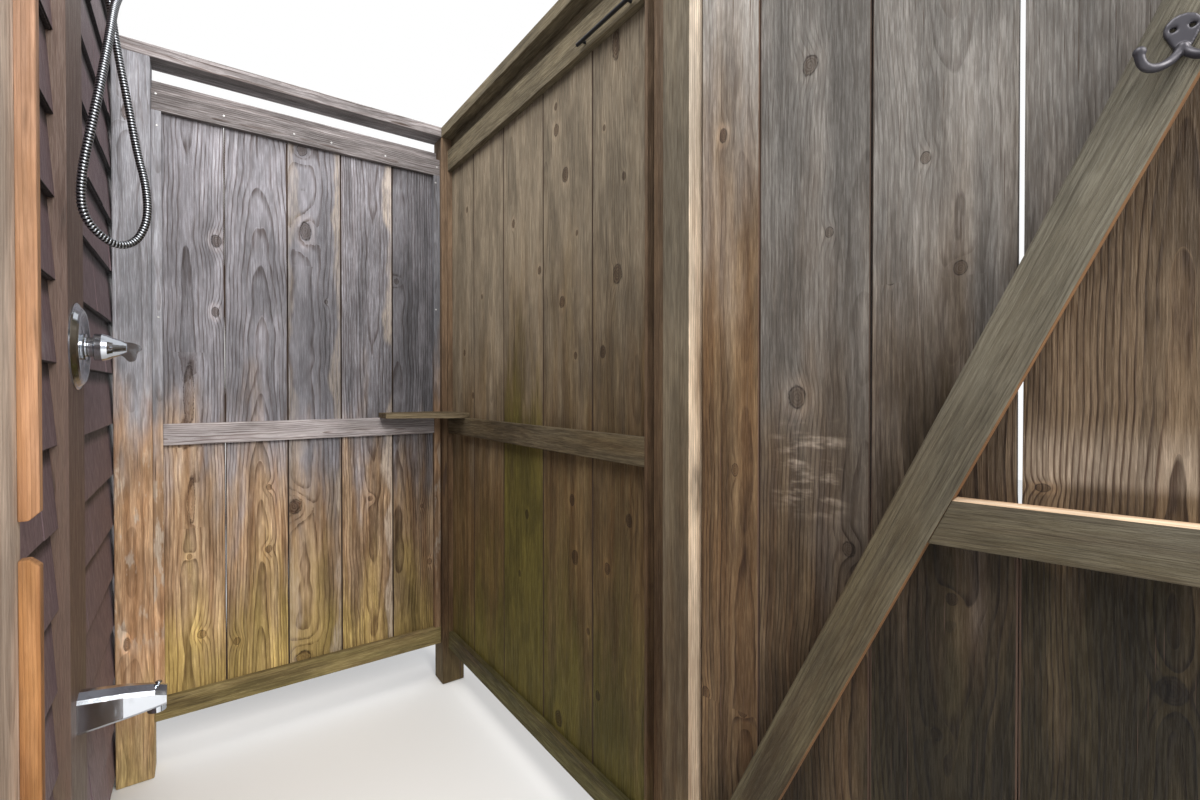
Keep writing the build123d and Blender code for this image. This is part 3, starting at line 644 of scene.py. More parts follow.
cedars = {}
labels = ("Spacing", "Waver", "Rings", "Flecks", "Grey from", "Grey to", "Algae to")
for name, bump, numbers, silver, honey, algae_and_shade in (
    # Back boards: the honey is painted lighter, painted light that makes up for the shade low in the stall.
    ("back_board", 0.9, (0.0075, 0.03, 0.9, 0.4, 0.75, 1.2, 0.7),
     (0.32, 0.315, 0.35), (0.47, 0.34, 0.22), (0.46, 0.335, 0.11)),
    # Right boards: all three colours are painted darker for the shade the panel stands in.
    ("right_board", 0.9, (0.006, 0.03, 0.4, 0.35, 0.85, 1.75, 0.8),
     (0.25, 0.205, 0.145), (0.17, 0.115, 0.05), (0.115, 0.098, 0.018)),
    # Gate boards: the "Algae" colour is painted shade, near black low on the gate, and the honey is painted
    # darker for the same shade.
    ("gate_board", 0.7, (0.006, 0.035, 0.45, 0.42, 0.85, 1.75, 1.35),
     (0.152, 0.143, 0.132), (0.10, 0.067, 0.036), (0.008, 0.007, 0.002)),
    ("silver_frame", 0.9, (0.006, 0.03, 0.9, 0.45, 0.2, 1.2, 0.2),
     (0.33, 0.305, 0.31), (0.36, 0.295, 0.25), (0.26, 0.22, 0.1)),
    ("post", 0.8, (0.005, 0.02, 0.5, 0.4, 0.85, 1.3, 0.35),
     (0.33, 0.335, 0.37), (0.58, 0.39, 0.24), (0.46, 0.35, 0.15)),
    ("olive_frame", 0.9, (0.005, 0.02, 0.4, 0.5, 0.6, 1.6, 0.6),
     (0.18, 0.15, 0.095), (0.115, 0.08, 0.036), (0.11, 0.10, 0.035)),
    ("mossy_rail", 0.9, (0.006, 0.02, 0.3, 0.5, 0.8, 1.5, 0.6),
     (0.24, 0.20, 0.13), (0.26, 0.20, 0.10), (0.19, 0.155, 0.06)),
    ("gate_frame", 0.8, (0.005, 0.02, 0.45, 0.25, 0.6, 1.6, 0.3),
     (0.132, 0.12, 0.09), (0.082, 0.066, 0.036), (0.068, 0.056, 0.02)),
    ("jamb", 0.8, (0.005, 0.015, 0.25, 0.28, 0.3, 1.6, 0.4),
     (0.155, 0.13, 0.092), (0.13, 0.095, 0.052), (0.10, 0.075, 0.03)),
    ("brown_post", 0.8, (0.005, 0.015, 0.4, 0.35, 0.5, 2.0, 0.4),
     (0.17, 0.115, 0.072), (0.11, 0.068, 0.034), (0.13, 0.095, 0.04)),
    ("stop_strip", 0.4, (0.003, 0.01, 0.35, 0.2, 0.9, 1.6, 0.0),
     (0.34, 0.205, 0.135), (0.32, 0.16, 0.06), (0.45, 0.24, 0.10)),
    ("latch_post", 0.5, (0.006, 0.02, 0.3, 0.25, 0.3, 1.5, 0.1),
     (0.57, 0.465, 0.385), (0.55, 0.43, 0.33), (0.3, 0.22, 0.12)),
    ("pale_cut", 0.5, (0.005, 0.02, 0.5, 0.3, 1.0, 1.9, 0.0),
     (0.84, 0.72, 0.58), (0.80, 0.64, 0.47), (0.5, 0.4, 0.2)),
    ("orange_cut", 0.5, (0.004, 0.02, 0.3, 0.3, 1.6, 2.2, 0.0),
     (0.19, 0.115, 0.062), (0.20, 0.11, 0.05), (0.2, 0.12, 0.05)),
):
    values = {
        "Silver": (*silver, 1),
        "Honey": (*honey, 1),
        "Algae": (*algae_and_shade, 1),
        **dict(zip(labels, numbers)),
        "Fineness": 1.5 if name.startswith("gate") else 1.0,
        "Joint": 1.0 if name.endswith("board") else 0.0,
        "Painted mid shade": 0.3 if name == "back_board" else 0.0,
    }
    cedars[name] = cedar_material(name, bump, values)
print("cedar materials", len(cedars))


# %% [markdown]
# ## Timbers with a grain of their own
# Each board, rail and post is remade from its solid, because the solids' corners are knife-sharp and carry
# no grain. `timber` cleans the solid's faces, eases every arris with a small bevel, and writes the grain's
# attributes for each loose board in it. The longest edge gives the direction of the grain, and the largest
# face gives the direction of the board's depth. For the fence panels these directions are handed in, so that
# a knot can be named by its place on the panel. A board with knots is cut across between them, and each
# part of it then holds the one knot that is its own.

# %% Take solids apart
same_place = 1e-5
flat_enough = 0.02


def loose_parts(mesh):
    """The separate solids of a mesh, each as a list of its vertices."""
    waiting = set(mesh.verts)
    found = []
    while waiting:
        stack = [waiting.pop()]
        part = []
        while stack:
            vertex = stack.pop()
            part.append(vertex)
            for edge in vertex.link_edges:
                other = edge.other_vert(vertex)
                if other in waiting:
                    waiting.discard(other)
                    stack.append(other)
        found.append(part)
    return found


def clean_solid(node):
    """The solid of a node as a fresh mesh with whole faces."""
    source = nodes[node].data
    mesh = bmesh.new()
    corners = [mesh.verts.new(vertex.co) for vertex in source.vertices]
    for face in source.polygons:
        mesh.faces.new([corners[index] for index in face.vertices])
    bmesh.ops.remove_doubles(mesh, verts=mesh.verts, dist=same_place)
    bmesh.ops.dissolve_limit(mesh, angle_limit=flat_enough, verts=mesh.verts, edges=mesh.edges)
    return mesh


def grain_axes(part):
    """Across, depth and along directions of one solid, from its longest edge and its largest face."""
    edges = {edge for vertex in part for edge in vertex.link_edges}
    faces = {face for vertex in part for face in vertex.link_faces}
    longest = max(edges, key=lambda edge: (round(edge.calc_length(), 5), tuple(edge.verts[0].co)))
    along = (longest.verts[1].co - longest.verts[0].co).normalized()
    largest = max(faces, key=lambda face: (round(face.calc_area(), 7), tuple(face.normal)))
    depth = largest.normal.copy()
    depth = (depth - along * depth.dot(along)).normalized()
    if max(along, key=abs) < 0:
        along.negate()
    return depth.cross(along).normalized(), depth, along


def within(item, direction, origin, span):
    """True where a vertex, edge or face lies inside one board's span across the panel."""
    corners = [item] if isinstance(item, bmesh.types.BMVert) else item.verts
    low, high = span[0] - same_place, span[1] + same_place
    return all(low <= (corner.co - origin).dot(direction) <= high for corner in corners)


def cut_through(mesh, where, direction, inside=lambda item: True):
    """Cuts a mesh, or the items of it that lie inside a board, along a plane."""
    items = [item for item in (*mesh.verts, *mesh.edges, *mesh.faces) if inside(item)]
    bmesh.ops.bisect_plane(mesh, geom=items, plane_co=where, plane_no=direction)


# %% [markdown]
# Sawn edges are never quite straight, and the joints between old boards open and close along their length.
# `wander_edges` cuts the boards every few centimetres and moves the edges beside a neighbour a little. A joint
# can be wider or closed below a certain height and different above it.

# %% Let edges wander
cut_every, keep_off = 0.05, 0.01
beside_edge = 0.0025
turns_at, turned_by = 0.97, 1.03


def wander_edges(mesh, plans, gaps, origin, wander):
    """Lets edges beside a neighbour wander, with joints wider (+) or closed (-) as (below, above)."""
    across_board, _, up_board = plans[0][0]
    low = min(spans[2][0] for _, spans in plans)
    high = max(spans[2][1] for _, spans in plans)
    for step in range(1, int((high - low) / cut_every)):
        cut_through(mesh, origin + up_board * (low + cut_every * step), up_board)
    moves = []
    for number, (_, spans) in enumerate(plans):
        for edge, sign, joint in ((spans[0][0], -1, number - 1), (spans[0][1], 1, number)):
            if not 0 <= joint < len(plans) - 1:
                continue
            below, above = gaps[joint] if joint < len(gaps) else (0, 0)
            for vertex in mesh.verts:
                across = (vertex.co - origin).dot(across_board)
                along = (vertex.co - origin).dot(up_board)
                inner = spans[2][0] + keep_off < along < spans[2][1] - keep_off
                if not inner or abs(across - edge) > beside_edge:
                    continue
                share = noise.noise(Vector((edge * 9, along * 7, 3.7)))
                up = min(max((along - turns_at) / (turned_by - turns_at), 0), 1)
                moves.append((vertex, sign * (wander * share - below * (1 - up) - above * up)))
    for vertex, step in moves:
        vertex.co += across_board * step


# %% Make timbers
arris = 0.0018
sharp_angle = 0.3
same_height = 0.03
no_knot = (0.0, 0.0, 0.0, 0.0, 0.0, 1.0)


def write_layer(data, name, rows, domain="POINT"):
    """Writes one vector or one number for each vertex or face into an attribute."""
    as_vectors = not isinstance(rows[0], float)
    layer = data.attributes.new(name, "FLOAT_VECTOR" if as_vectors else "FLOAT", domain)
    flat = [value for row in rows for value in row] if as_vectors else rows
    layer.data.foreach_set("vector" if as_vectors else "value", flat)


def board_values(note, seed, spans):
    """Where a board's pith lies, its tone and its looks, from its note or else from its seed."""
    centre = [(low + high) / 2 for low, high in spans]
    half = [max((high - low) / 2, 1e-4) for low, high in spans]
    lean = note.get("lean", ((seed * 3.1) % 1 - 0.5) * 0.024)
    pith = (
        centre[0] + note.get("pith", ((seed * 1.9) % 1 - 0.5) * 0.9) * half[0],
        note.get("under", 0.03 + (seed * 0.77) % 1 * 0.05) - centre[1] - lean * centre[2],
        lean,
    )
    tone = (note.get("bright", 0.92 + (seed * 2.3) % 1 * 0.16), note.get("grey", 0.0), note.get("algae_and_shade", 0.0))
    return centre, half, pith, tone, (*note.get("sap", (0, 0)), note.get("coarse", 1.0))


def timber(
    node, material, body="stall", axes=None, origin=(0, 0, 0), notes=(), knots=(), wander=0, gaps=(),
    eye=(0.3, 0.5, 0.8),
):
    """Remakes a node as timber with eased edges and a grain; notes, knots and gaps are per panel."""
    mesh = clean_solid(node)
    origin = Vector(origin)
    plans = []
    for part in loose_parts(mesh):
        directions = axes or grain_axes(part)
        spans = []
        for direction in directions:
            places = [(vertex.co - origin).dot(direction) for vertex in part]
            spans.append((min(places), max(places)))
        plans.append((directions, spans))
    plans.sort(key=lambda plan: [plan[1][0][0], -plan[1][2][0], -plan[1][1][0]])
    sharp = [edge for edge in mesh.edges if len(edge.link_faces) == 2 and edge.calc_face_angle() > sharp_angle]
    bmesh.ops.bevel(mesh, geom=sharp, offset=arris, segments=2, profile=0.6, affect="EDGES", clamp_overlap=True)
    knots_of = []
    for directions, spans in plans:
        here = [knot for knot in knots if spans[0][0] <= knot[0] <= spans[0][1]]
        knots_of.append(here)
        here = sorted(here, key=lambda knot: knot[1])
        for low, high in zip(here, here[1:]):
            axis = 2 if high[1] - low[1] > same_height else 0
            where = origin + directions[axis] * (low[axis // 2] + high[axis // 2]) / 2
            cut_through(
                mesh, where, directions[axis], lambda item: within(item, directions[0], origin, spans[0])
            )
    if wander:
        wander_edges(mesh, plans, gaps, origin, wander)
    mesh.verts.index_update()
    mesh.faces.index_update()
    values = {name: [None] * len(mesh.verts) for name in ("grain", "pith", "place", "tone", "looks", "seed")}
    knot_at = [no_knot] * len(mesh.faces)
    for part in loose_parts(mesh):
        middle = sum((vertex.co for vertex in part), Vector()) / len(part) - origin

        def apart(number, axis):
            directions, spans = plans[number]
            return abs(middle.dot(directions[axis]) - sum(spans[axis]) / 2)

        number = min(range(len(plans)), key=lambda number: apart(number, 0) + 0.2 * apart(number, 2))
        directions, spans = plans[number]
        note = notes[number] if number < len(notes) else {}
        seed = note.get("seed", (len(node) * 1.7 + number * 5.3) % 23)
        centre, half, pith, tone, looks = board_values(note, seed, spans)
        for vertex in part:
            grain = [(vertex.co - origin).dot(direction) for direction in directions]
            place = [(grain[axis] - centre[axis]) / half[axis] for axis in range(3)]
            own = {"grain": grain, "pith": pith, "place": place, "tone": tone, "looks": looks, "seed": seed}
            for name, value in own.items():
                values[name][vertex.index] = value
        here = knots_of[number]
        for face in {face for vertex in part for face in vertex.link_faces} if here else ():
            offset = face.calc_center_median() - origin
            level, across = offset.dot(directions[2]), offset.dot(directions[0])
            knot = min(here, key=lambda knot: abs(knot[1] - level) + 0.05 * abs(knot[0] - across))
            knot_at[face.index] = (*knot, *eye[len(knot) - 3:])
    piece = finished(mesh, node + "_timber")
    for name, rows in values.items():
        write_layer(piece, name, rows)
    write_layer(piece, "knot", [row[:3] for row in knot_at], "FACE")
    write_layer(piece, "eye", [row[3:] for row in knot_at], "FACE")
    piece.materials.append(material)
    thing = add_object(node + "_timber", piece)
    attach(thing, body)
    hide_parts(node)
    return thing


def recut(thing, material, direction, least=0.9):
    """Gives another material to the faces of a piece that look in one direction."""
    thing.data.materials.append(material)
    for face in thing.data.polygons:
        if face.normal.dot(Vector(direction)) > least:
            face.material_index = len(thing.data.materials) - 1


# %% [markdown]
# ## The back panel
# Five wide boards stand in a frame of rails and strips. Each was cut from another part of a log: the first
# has wavy upright lines with two big knots near its edge, the second has nested arches, the third an eye
# ringed in pale wood, the fourth is coarse and fibrous, and the last is dark. The notes below say that for
# each board: where its pith lies, how far under the face, and how it leans. A knot is named by its place
# across the panel and up it, and by its size, in metres. Three more numbers can follow: how pale its collar
# is, how dark its core, and how much it is squeezed along the grain.

# %% Back panel
upright = Vector((0, 0, 1))
upright_back = (Vector((1, 0, 0)), Vector((0, -1, 0)), upright)
closed = (-0.0015, -0.0015)
back_notes = [
    dict(pith=-0.06, under=0.03, lean=0.002, bright=1.05, seed=3.1),
    dict(pith=0.1, under=0.052, lean=0.0444, bright=1.02, seed=8.4),
    dict(pith=-0.5, under=0.13, lean=0.004, bright=0.70, grey=0.1, seed=12.6, sap=(0.4, 0.6), coarse=0.8),
    dict(pith=0.2, under=0.05, lean=-0.02, bright=0.85, seed=17.2, sap=(0.0, 0.7), coarse=1.5),
    dict(pith=-0.8, under=0.06, lean=0.006, bright=0.5, grey=0.1, seed=20.9, coarse=1.2),
]
back_knots = [
    (0.346, 1.676, 0.014, 0.9, 0.75, 0.7), (0.343, 1.443, 0.011, 0.9, 0.75, 0.7),
    (0.272, 1.175, 0.014, 0.1, 0.5, 0.14), (0.277, 0.835, 0.010, 0.1, 0.5, 0.14),
    (0.271, 0.653, 0.007), (0.301, 0.396, 0.011), (0.491, 0.853, 0.008), (0.489, 0.640, 0.010),
    (0.397, 0.347, 0.010), (0.596, 2.036, 0.016), (0.606, 1.751, 0.018, 1.0, 0.6, 0.55),
    (0.672, 1.507, 0.006), (0.570, 0.777, 0.021, 0.4, 0.95, 0.8), (0.594, 0.235, 0.022),
    (0.821, 0.776, 0.008), (0.920, 1.610, 0.009), (1.017, 0.723, 0.007), (1.047, 0.495, 0.010),
]
timber(
    "back_boards", cedars["back_board"], axes=upright_back, notes=back_notes, knots=back_knots, wander=0.0012,
    gaps=[closed] * 4,
)
silver = cedars["silver_frame"]
timber("back_bottom_rail", cedars["mossy_rail"])
timber("back_mid_rail", silver, notes=[dict(bright=1.25, under=0.02, coarse=0.6)])
timber("back_top_rail", silver, notes=[dict(bright=0.74, under=0.02)])
timber("back_outer_rails", silver)
timber("back_cap_rail", silver, notes=[dict(bright=0.8)])
strip_notes = [dict(bright=0.9, grey=0.1), dict(bright=0.5, grey=-0.2)]
timber("back_side_strips", cedars["post"], axes=upright_back, notes=strip_notes)
post_knots = [(0.1275, 2.015, 0.012, 0.0, 1.0, 0.5), (0.121, 0.429, 0.008, 0.8, 0.9, 0.4)]
post_notes = [dict(bright=1.0, seed=4.4)]
timber("back_left_post", cedars["post"], axes=upright_back, notes=post_notes, knots=post_knots)
timber("corner_post", cedars["brown_post"])
print("back panel", len(back_knots), "knots")

# %% [markdown]
# ## The right panel
# These boards stand in the shade, so they stay browner than the back ones, and their colours are also painted
# darker for that shade; the middle board is the greenest. The panel is seen at a slant, and its many small
# knots show as upright ovals.

# %% Right panel
upright_right = (Vector((0, 1, 0)), Vector((-1, 0, 0)), upright)
right_notes = [
    dict(pith=-0.5, under=0.06, lean=0.006, bright=0.8, seed=21.4),
    dict(pith=0.9, under=0.05, lean=0.004, bright=0.92, seed=15.9),
    dict(pith=0.6, under=0.05, lean=0.004, bright=1.05, algae_and_shade=0.62, seed=11.3),
    dict(pith=-0.2, under=0.06, lean=-0.01, bright=1.1, grey=0.15, seed=6.7),
    dict(pith=0.1, under=0.05, lean=0.02, bright=1.05, grey=0.2, algae_and_shade=-0.2, seed=2.2),
]
right_knots = [
    (0.511, 1.875, 0.009), (0.127, 1.728, 0.010), (-0.139, 1.930, 0.013), (-0.187, 1.788, 0.016),
    (-0.448, 1.702, 0.008), (-0.417, 2.033, 0.015, 0.2, 1.0, 0.35), (-0.136, 1.997, 0.008),
    (-0.369, 1.848, 0.006), (-0.244, 1.613, 0.006), (-0.423, 1.472, 0.018), (-0.042, 1.547, 0.010),
    (0.375, 1.526, 0.007), (-0.169, 1.436, 0.013), (0.539, 1.332, 0.009), (-0.237, 1.282, 0.008),
    (-0.363, 1.285, 0.012), (0.458, 1.167, 0.009), (-0.220, 0.886, 0.012), (-0.235, 0.732, 0.015),
    (0.037, 0.799, 0.011), (0.087, 0.600, 0.008), (-0.382, 0.740, 0.011), (-0.469, 0.877, 0.012),
    (-0.298, 0.551, 0.007), (-0.150, 0.248, 0.018), (-0.341, 0.400, 0.010),
]
timber(
    "right_boards", cedars["right_board"], axes=upright_right, notes=right_notes, knots=right_knots,
    wander=0.0006, gaps=[closed] * 4, eye=(0.3, 0.95, 0.75),
)
for node, finish, bright in (
    ("right_bottom_rail", "olive_frame", 0.9),
    ("right_mid_rail", "olive_frame", 0.8),
    ("right_top_rail", "olive_frame", 0.9),
    ("right_side_strips", "brown_post", 1.0),
    ("right_outer_rails", "olive_frame", 1.0),
    ("right_cap_rail", "olive_frame", 1.0),
    ("corner_shelf", "olive_frame", 0.9),
    ("gate_post", "brown_post", 1.0),
    ("gate_jamb", "jamb", 1.0),
    ("gate_facing", "jamb", 1.0),
    ("latch_post", "latch_post", 1.0),
    ("gate_stop_strips", "stop_strip", 1.0),
):
    piece = timber(node, cedars[finish], notes=[dict(bright=bright)] * 2)
    if node == "gate_jamb":
        recut(piece, cedars["pale_cut"], (0, -1, 0))
print("right panel", len(right_knots), "knots")

# %% [markdown]
# ## The gate
# The gate stands open beside the camera, so its boards show the grain at close range. Its pieces lie along a
# line turned by 102 degrees from the closed gate, and the knots are named by how far they are from the hinge
# along that line. The pieces ride on the gate's body and swing with it. Its joints are nearly closed but for
# the third, which opens above the middle rail, and the last two, which keep the solid's own gap.

# %% Gate
gate_turn = math.radians(102)
gate_along = Vector((-math.cos(gate_turn), -math.sin(gate_turn), 0))
gate_inward = Vector((-math.sin(gate_turn), math.cos(gate_turn), 0))
upright_gate = (gate_along, gate_inward, upright)
gate_hinge = (1.1075, -0.74, 0)
gate_notes = [
    dict(pith=0.5, under=0.04, lean=0.006, bright=1.9, grey=-0.3, algae_and_shade=-0.75, seed=1.4),
    dict(pith=0.9, under=0.05, lean=0.012, bright=0.95, grey=0.1, algae_and_shade=-0.5, seed=5.8),
    dict(pith=0.2, under=0.05, lean=-0.03, bright=1.1, grey=0.1, algae_and_shade=-0.1, seed=9.9),
    dict(pith=0.6, under=0.013, lean=0.028, bright=1.1, seed=14.5),
    dict(pith=0.3, under=0.05, lean=-0.01, bright=0.95, seed=18.8),
    dict(pith=0.2, under=0.05, lean=0.01, bright=1.0, seed=22.1),
]
gate_knots = [
    (0.045, 1.661, 0.008, 0.8, 0.9, 0.6), (0.070, 1.042, 0.007, 0.1, 0.6, 0.6), (0.010, 0.609, 0.009),
    (0.086, 0.604, 0.009), (0.206, 1.728, 0.013, 0.3, 0.7, 0.75), (0.238, 1.446, 0.007),
    (0.185, 1.177, 0.015, 0.8, 0.5, 0.8), (0.271, 0.935, 0.010), (0.375, 1.528, 0.007),
    (0.329, 1.356, 0.006), (0.419, 1.361, 0.008), (0.410, 0.891, 0.007, 0.1, 0.9, 0.8),
    (0.392, 0.690, 0.007), (0.510, 1.062, 0.008, 0.9, 0.3, 1.6), (0.628, 0.841, 0.013, 0.3, 1.0, 0.8),
]
timber(
    "gate_boards", cedars["gate_board"], body="gate", axes=upright_gate, origin=gate_hinge, notes=gate_notes,
    knots=gate_knots, wander=0.0006, gaps=[closed, (-0.0018, -0.0006), (-0.0018, 0.0012)],
)
for node in ("gate_bottom_rail", "gate_mid_rail", "gate_top_rail"):
    piece = timber(node, cedars["gate_frame"], body="gate", notes=[dict(bright=0.84)])
    recut(piece, cedars["pale_cut"], (0, 0, 1))
brace = timber("gate_brace", cedars["gate_frame"], body="gate")
recut(brace, cedars["orange_cut"], (gate_along.x * 0.9, gate_along.y * 0.9, -0.44), 0.75)
print("gate", len(gate_knots), "knots")


# %% [markdown]
# ## Stained shingles
# The house wall is clad in wooden shingles: thin wedges of random width, nailed in courses so that the thick
# butts of one course cover the thin tops of the last. The solid has each course as one band. Here every
# shingle is a wedge of its own with a narrow joint to its neighbour, and joints of two courses never line
# up. A plain band behind them closes the joints. Each butt throws a shade on the course below it, so shade is
# painted into the stain towards a shingle's top, where the attribute "course" is 1, and the butts' undersides
# are painted near black as shade.

# %% Stained wood material
def stained_material(name, colour, worn, worn_to, shade, bump):
    """Dark semi-solid stain that shows the grain and wears pale in streaks and near the ground; shade is painted
    under butts and on faces looking down.
    """
    material, tree, shader = new_material(name)
    seed = attribute(tree, "seed", 2)
    level = parts(put(tree, "TexCoord", out=3))[2]
    fibre = use_group(tree, fibre_group, {"Grain": attribute(tree, "grain"), "Seed": seed})
    own = put(tree, "TexWhiteNoise", {"W": seed}, noise_dimensions="1D")
    colours = blend(spread(own, 0.0, 1.0, 0.0, 0.3), colour, worn)
    colours = blend(fibre["Streak"] * 0.3, colours, worn)
    colours = blend(spread(scaled(fibre["Blotch"], 0.5, level), 0.5, worn_to, 0.9, 0.0), colours, worn)
    colours = blend((1.0 - fibre["Fleck"]) * 0.22, colours, (0.03, 0.02, 0.02))
    colours = blend(fibre["Check"] * 0.6, colours, (0.012, 0.008, 0.008))
    # Painted shade: each course darkens towards its top, under the butt of the course above.
    colours = tint(spread(attribute(tree, "course", 2), 0.74, 0.9) * shade, colours, (0.12, 0.10, 0.10))
    # Painted shade: faces that look down, such as the butts' undersides, are painted near black.
    facing = parts(put(tree, "NewGeometry", out=3))[2]
    colours = blend(spread(facing, -0.3, -0.7), colours, (0.012, 0.009, 0.01))
    normal = raised(fibre["Fleck"] * 0.5 - fibre["Check"], bump, 0.0008)
    rough = spread(fibre["Fleck"], 0.0, 1.0, 0.68, 0.5)
    fill(shader, {"Base Color": colours, "Roughness": rough, "Normal": normal})
    return material


shingle_stain = stained_material("shingle_stain", (0.14, 0.094, 0.106), (0.185, 0.124, 0.134), 0.6, 1.0, 0.6)
board_stain = stained_material(
    "plumbing_board_stain", (0.115, 0.064, 0.052), (0.14, 0.10, 0.065), 1.0, 0.0, 0.6
)

# %% Lay the shingles
narrowest, width_range, least_rest = 0.15, 0.20, 0.08
half_joint = 0.0006
wedge_step, backing_step = 0.0125, 0.0055
proud_range, butt_range = 0.0035, 0.002


def add_prism(mesh, outline, ends):
    """A bar along Y with this outline in X and Z; returns its vertices."""
    near, far = ([mesh.verts.new((x, y, z)) for x, z in outline] for y in ends)
    mesh.faces.new(near)
    mesh.faces.new(far[::-1])
    join_rings(mesh, far, near)
    return near + far


def lay_shingles(node, name):
    """Wedge shingles in courses over the length of one or more runs of the solid band."""
    solid = clean_solid(node)
    runs = []
    for part in loose_parts(solid):
        places = [vertex.co.y for vertex in part]
        runs.append((min(places), max(places)))
    levels = sorted({round(vertex.co.z, 4) for vertex in solid.verts})
    solid.free()
    low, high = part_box(node)
    face, wall = high[0], low[0]
    top = face - wedge_step
    mesh = bmesh.new()
    seed_layer = mesh.verts.layers.float.new("seed")
    course_layer = mesh.verts.layers.float.new("course")
    total = 0
    for start, end in sorted(runs):
        for course, (foot, head) in enumerate(zip(levels, levels[1:])):
            y = start
            while y < end - 0.001:
                turn = math.sin(total * 12.9898 + course * 78.233) * 43758.5453
                chance = turn - math.floor(turn)
                width = narrowest + width_range * chance
                if end - y - width < least_rest:
                    width = end - y
                near = y + (half_joint if y > start else 0)
                far = y + width - (half_joint if y + width < end - 0.001 else 0)
                proud = face - proud_range * ((chance * 7.3) % 1)
                butt = foot + (butt_range * ((chance * 3.7) % 1) if course else 0)
                wedge = [(wall, butt), (proud, butt), (top, head), (wall, head)]
                for vertex in add_prism(mesh, wedge, (near, far)):
                    vertex[seed_layer] = total * 0.37 + 1
                    vertex[course_layer] = float(vertex.co.z > head - 0.001)
                total += 1
                y += width
            backing = [(wall, foot), (face - backing_step, foot), (top - 0.002, head), (wall, head)]
            add_prism(mesh, backing, (start, end))
    bmesh.ops.recalc_face_normals(mesh, faces=mesh.faces)
    piece = finished(mesh, name)
    write_layer(piece, "grain", [(vertex.co.y, vertex.co.x, vertex.co.z) for vertex in piece.vertices])
    piece.materials.append(shingle_stain)
    thing = add_object(name, piece)
    set_all(thing.modifiers.new("eased", "BEVEL"), width=0.0009, segments=1)
    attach(thing, "stall")
    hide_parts(node)
    return total


print("shingles near", lay_shingles("wall_shingles_near", "shingles_near"))
print("shingles far", lay_shingles("wall_shingles_far", "shingles_far"))
timber("plumbing_board", board_stain)

# %% [markdown]
# ## Nails
# The back panel's top rail and strips are nailed through to the boards. A nail's head stands a millimetre
# proud as a small flat dome, so each is three rings of mesh, and all of them are one object. Their places were
# measured on the rail and on the strips, and each is kept inside its piece. They are galvanised, a dull pale
# grey.

# %% Drive the nails
nail_radius = 0.0033
nail_inset = 0.012
nail_rings = ((1.0, -0.0005), (1.0, 0.0005), (0.7, 0.0010))


def add_nail(mesh, centre, outward, around=10):
    """A low dome on a face that looks outward."""
    turn = outward.to_track_quat("Z", "Y")
    rings = []
    for share, rise in nail_rings:
        radius = nail_radius * share
        angles = [2 * math.pi * step / around for step in range(around)]
        spots = [Vector((math.cos(angle) * radius, math.sin(angle) * radius, rise)) for angle in angles]
        rings.append([mesh.verts.new(centre + turn @ spot) for spot in spots])
    for first, second in zip(rings, rings[1:]):
        join_rings(mesh, first, second)
    mesh.faces.new(rings[-1])
    mesh.faces.new(rings[0][::-1])


nail_mesh = bmesh.new()
nail_count = 0
for node, spots in (
    ("back_top_rail", ((0.0, 2.1), (0.368, 2.082), (0.570, 2.078), (0.688, 2.079), (0.875, 2.078), (2.0, 2.083))),
    ("back_side_strips", ((0.197, 2.003), (0.198, 1.413), (1.069, 2.02), (1.069, 1.511))),
):
    low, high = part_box(node)
    for across, level in spots:
        across = min(max(across, low[0] + nail_inset), high[0] - nail_inset)
        level = min(max(level, low[2] + nail_inset), high[2] - nail_inset)
        add_nail(nail_mesh, Vector((across, low[1], level)), Vector((0, -1, 0)))
        nail_count += 1
nail_data = finished(nail_mesh, "nail_heads")
nail_object = add_object("nail_heads", nail_data)
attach(nail_object, "stall")
print("nails", nail_count)


# %% [markdown]
# ## The house wall
# Only a plain section of the wall stands behind the shingles. Its ends and back are sheathing boards, so it
# gets quiet grey-brown wood with the same fibre, straight from the node's own coordinates.

# %% House wall
def paint(node, material):
    """Gives the solid of a node one material."""
    nodes[node].data.materials.clear()
    nodes[node].data.materials.append(material)


wall_finish, tree, shader = new_material("wall_sheathing")
place = put(tree, "TexCoord", out=3)
fibre = use_group(tree, fibre_group, {"Grain": place, "Seed": 4.0})
colours = blend(fibre["Streak"], (0.30, 0.25, 0.22), (0.23, 0.185, 0.165))
colours = blend((1.0 - fibre["Fleck"]) * 0.3, colours, (0.12, 0.1, 0.09))
seam = sums("PINGPONG", parts(place)[1] + 0.31, 0.15)
seam_line = spread(seam, 0.0, 0.0025, 1.0, 0.0)
colours = blend(seam_line * 0.85, colours, (0.03, 0.025, 0.022))
normal = raised(fibre["Fleck"] - seam_line * 3.0, 0.5, 0.001)
fill(shader, {"Base Color": colours, "Roughness": 0.85, "Normal": normal})
paint("house_wall", wall_finish)
print("house wall finished")


# %% [markdown]
# ## Metal
# Chrome is a mirror with a very slight haze, and outdoors it carries dull water spots. The iron of the gate
# is black satin paint, and the robe hook is dark bronze that shines at its worn edges. The solids' own shapes
# are right, so these nodes stay and only change their material. The hose's chrome has shade painted into its
# grooves.

# %% Chrome, iron and bronze
def metal_material(name, colour, rough, spots=0.2, metallic=1.0, groove=False):
    """Metal with a faint cloud of dried water over it, and with groove set, painted shade in the hose's grooves.
    """
    material, tree, shader = new_material(name)
    place = put(tree, "TexCoord", out=3)
    film = spread(noise_at(stretch(place, (1.0, 1.0, 0.5)), 70.0, 3.0, 0.6), 0.5, 0.75)
    colours = blend(film * 0.25, colour, tuple(0.72 * part for part in colour))
    if groove:
        # Painted shade: the hose's grooves are painted near black.
        colours = blend(attribute(tree, "groove", 2), colours, (0.02, 0.02, 0.022))
    normal = raised(noise_at(place, 900.0, 1.0), 0.06, 0.0005)
    values = {"Base Color": colours, "Roughness": scaled(film, spots, rough), "Normal": normal}
    fill(shader, {**values, "Metallic": metallic})
    return material


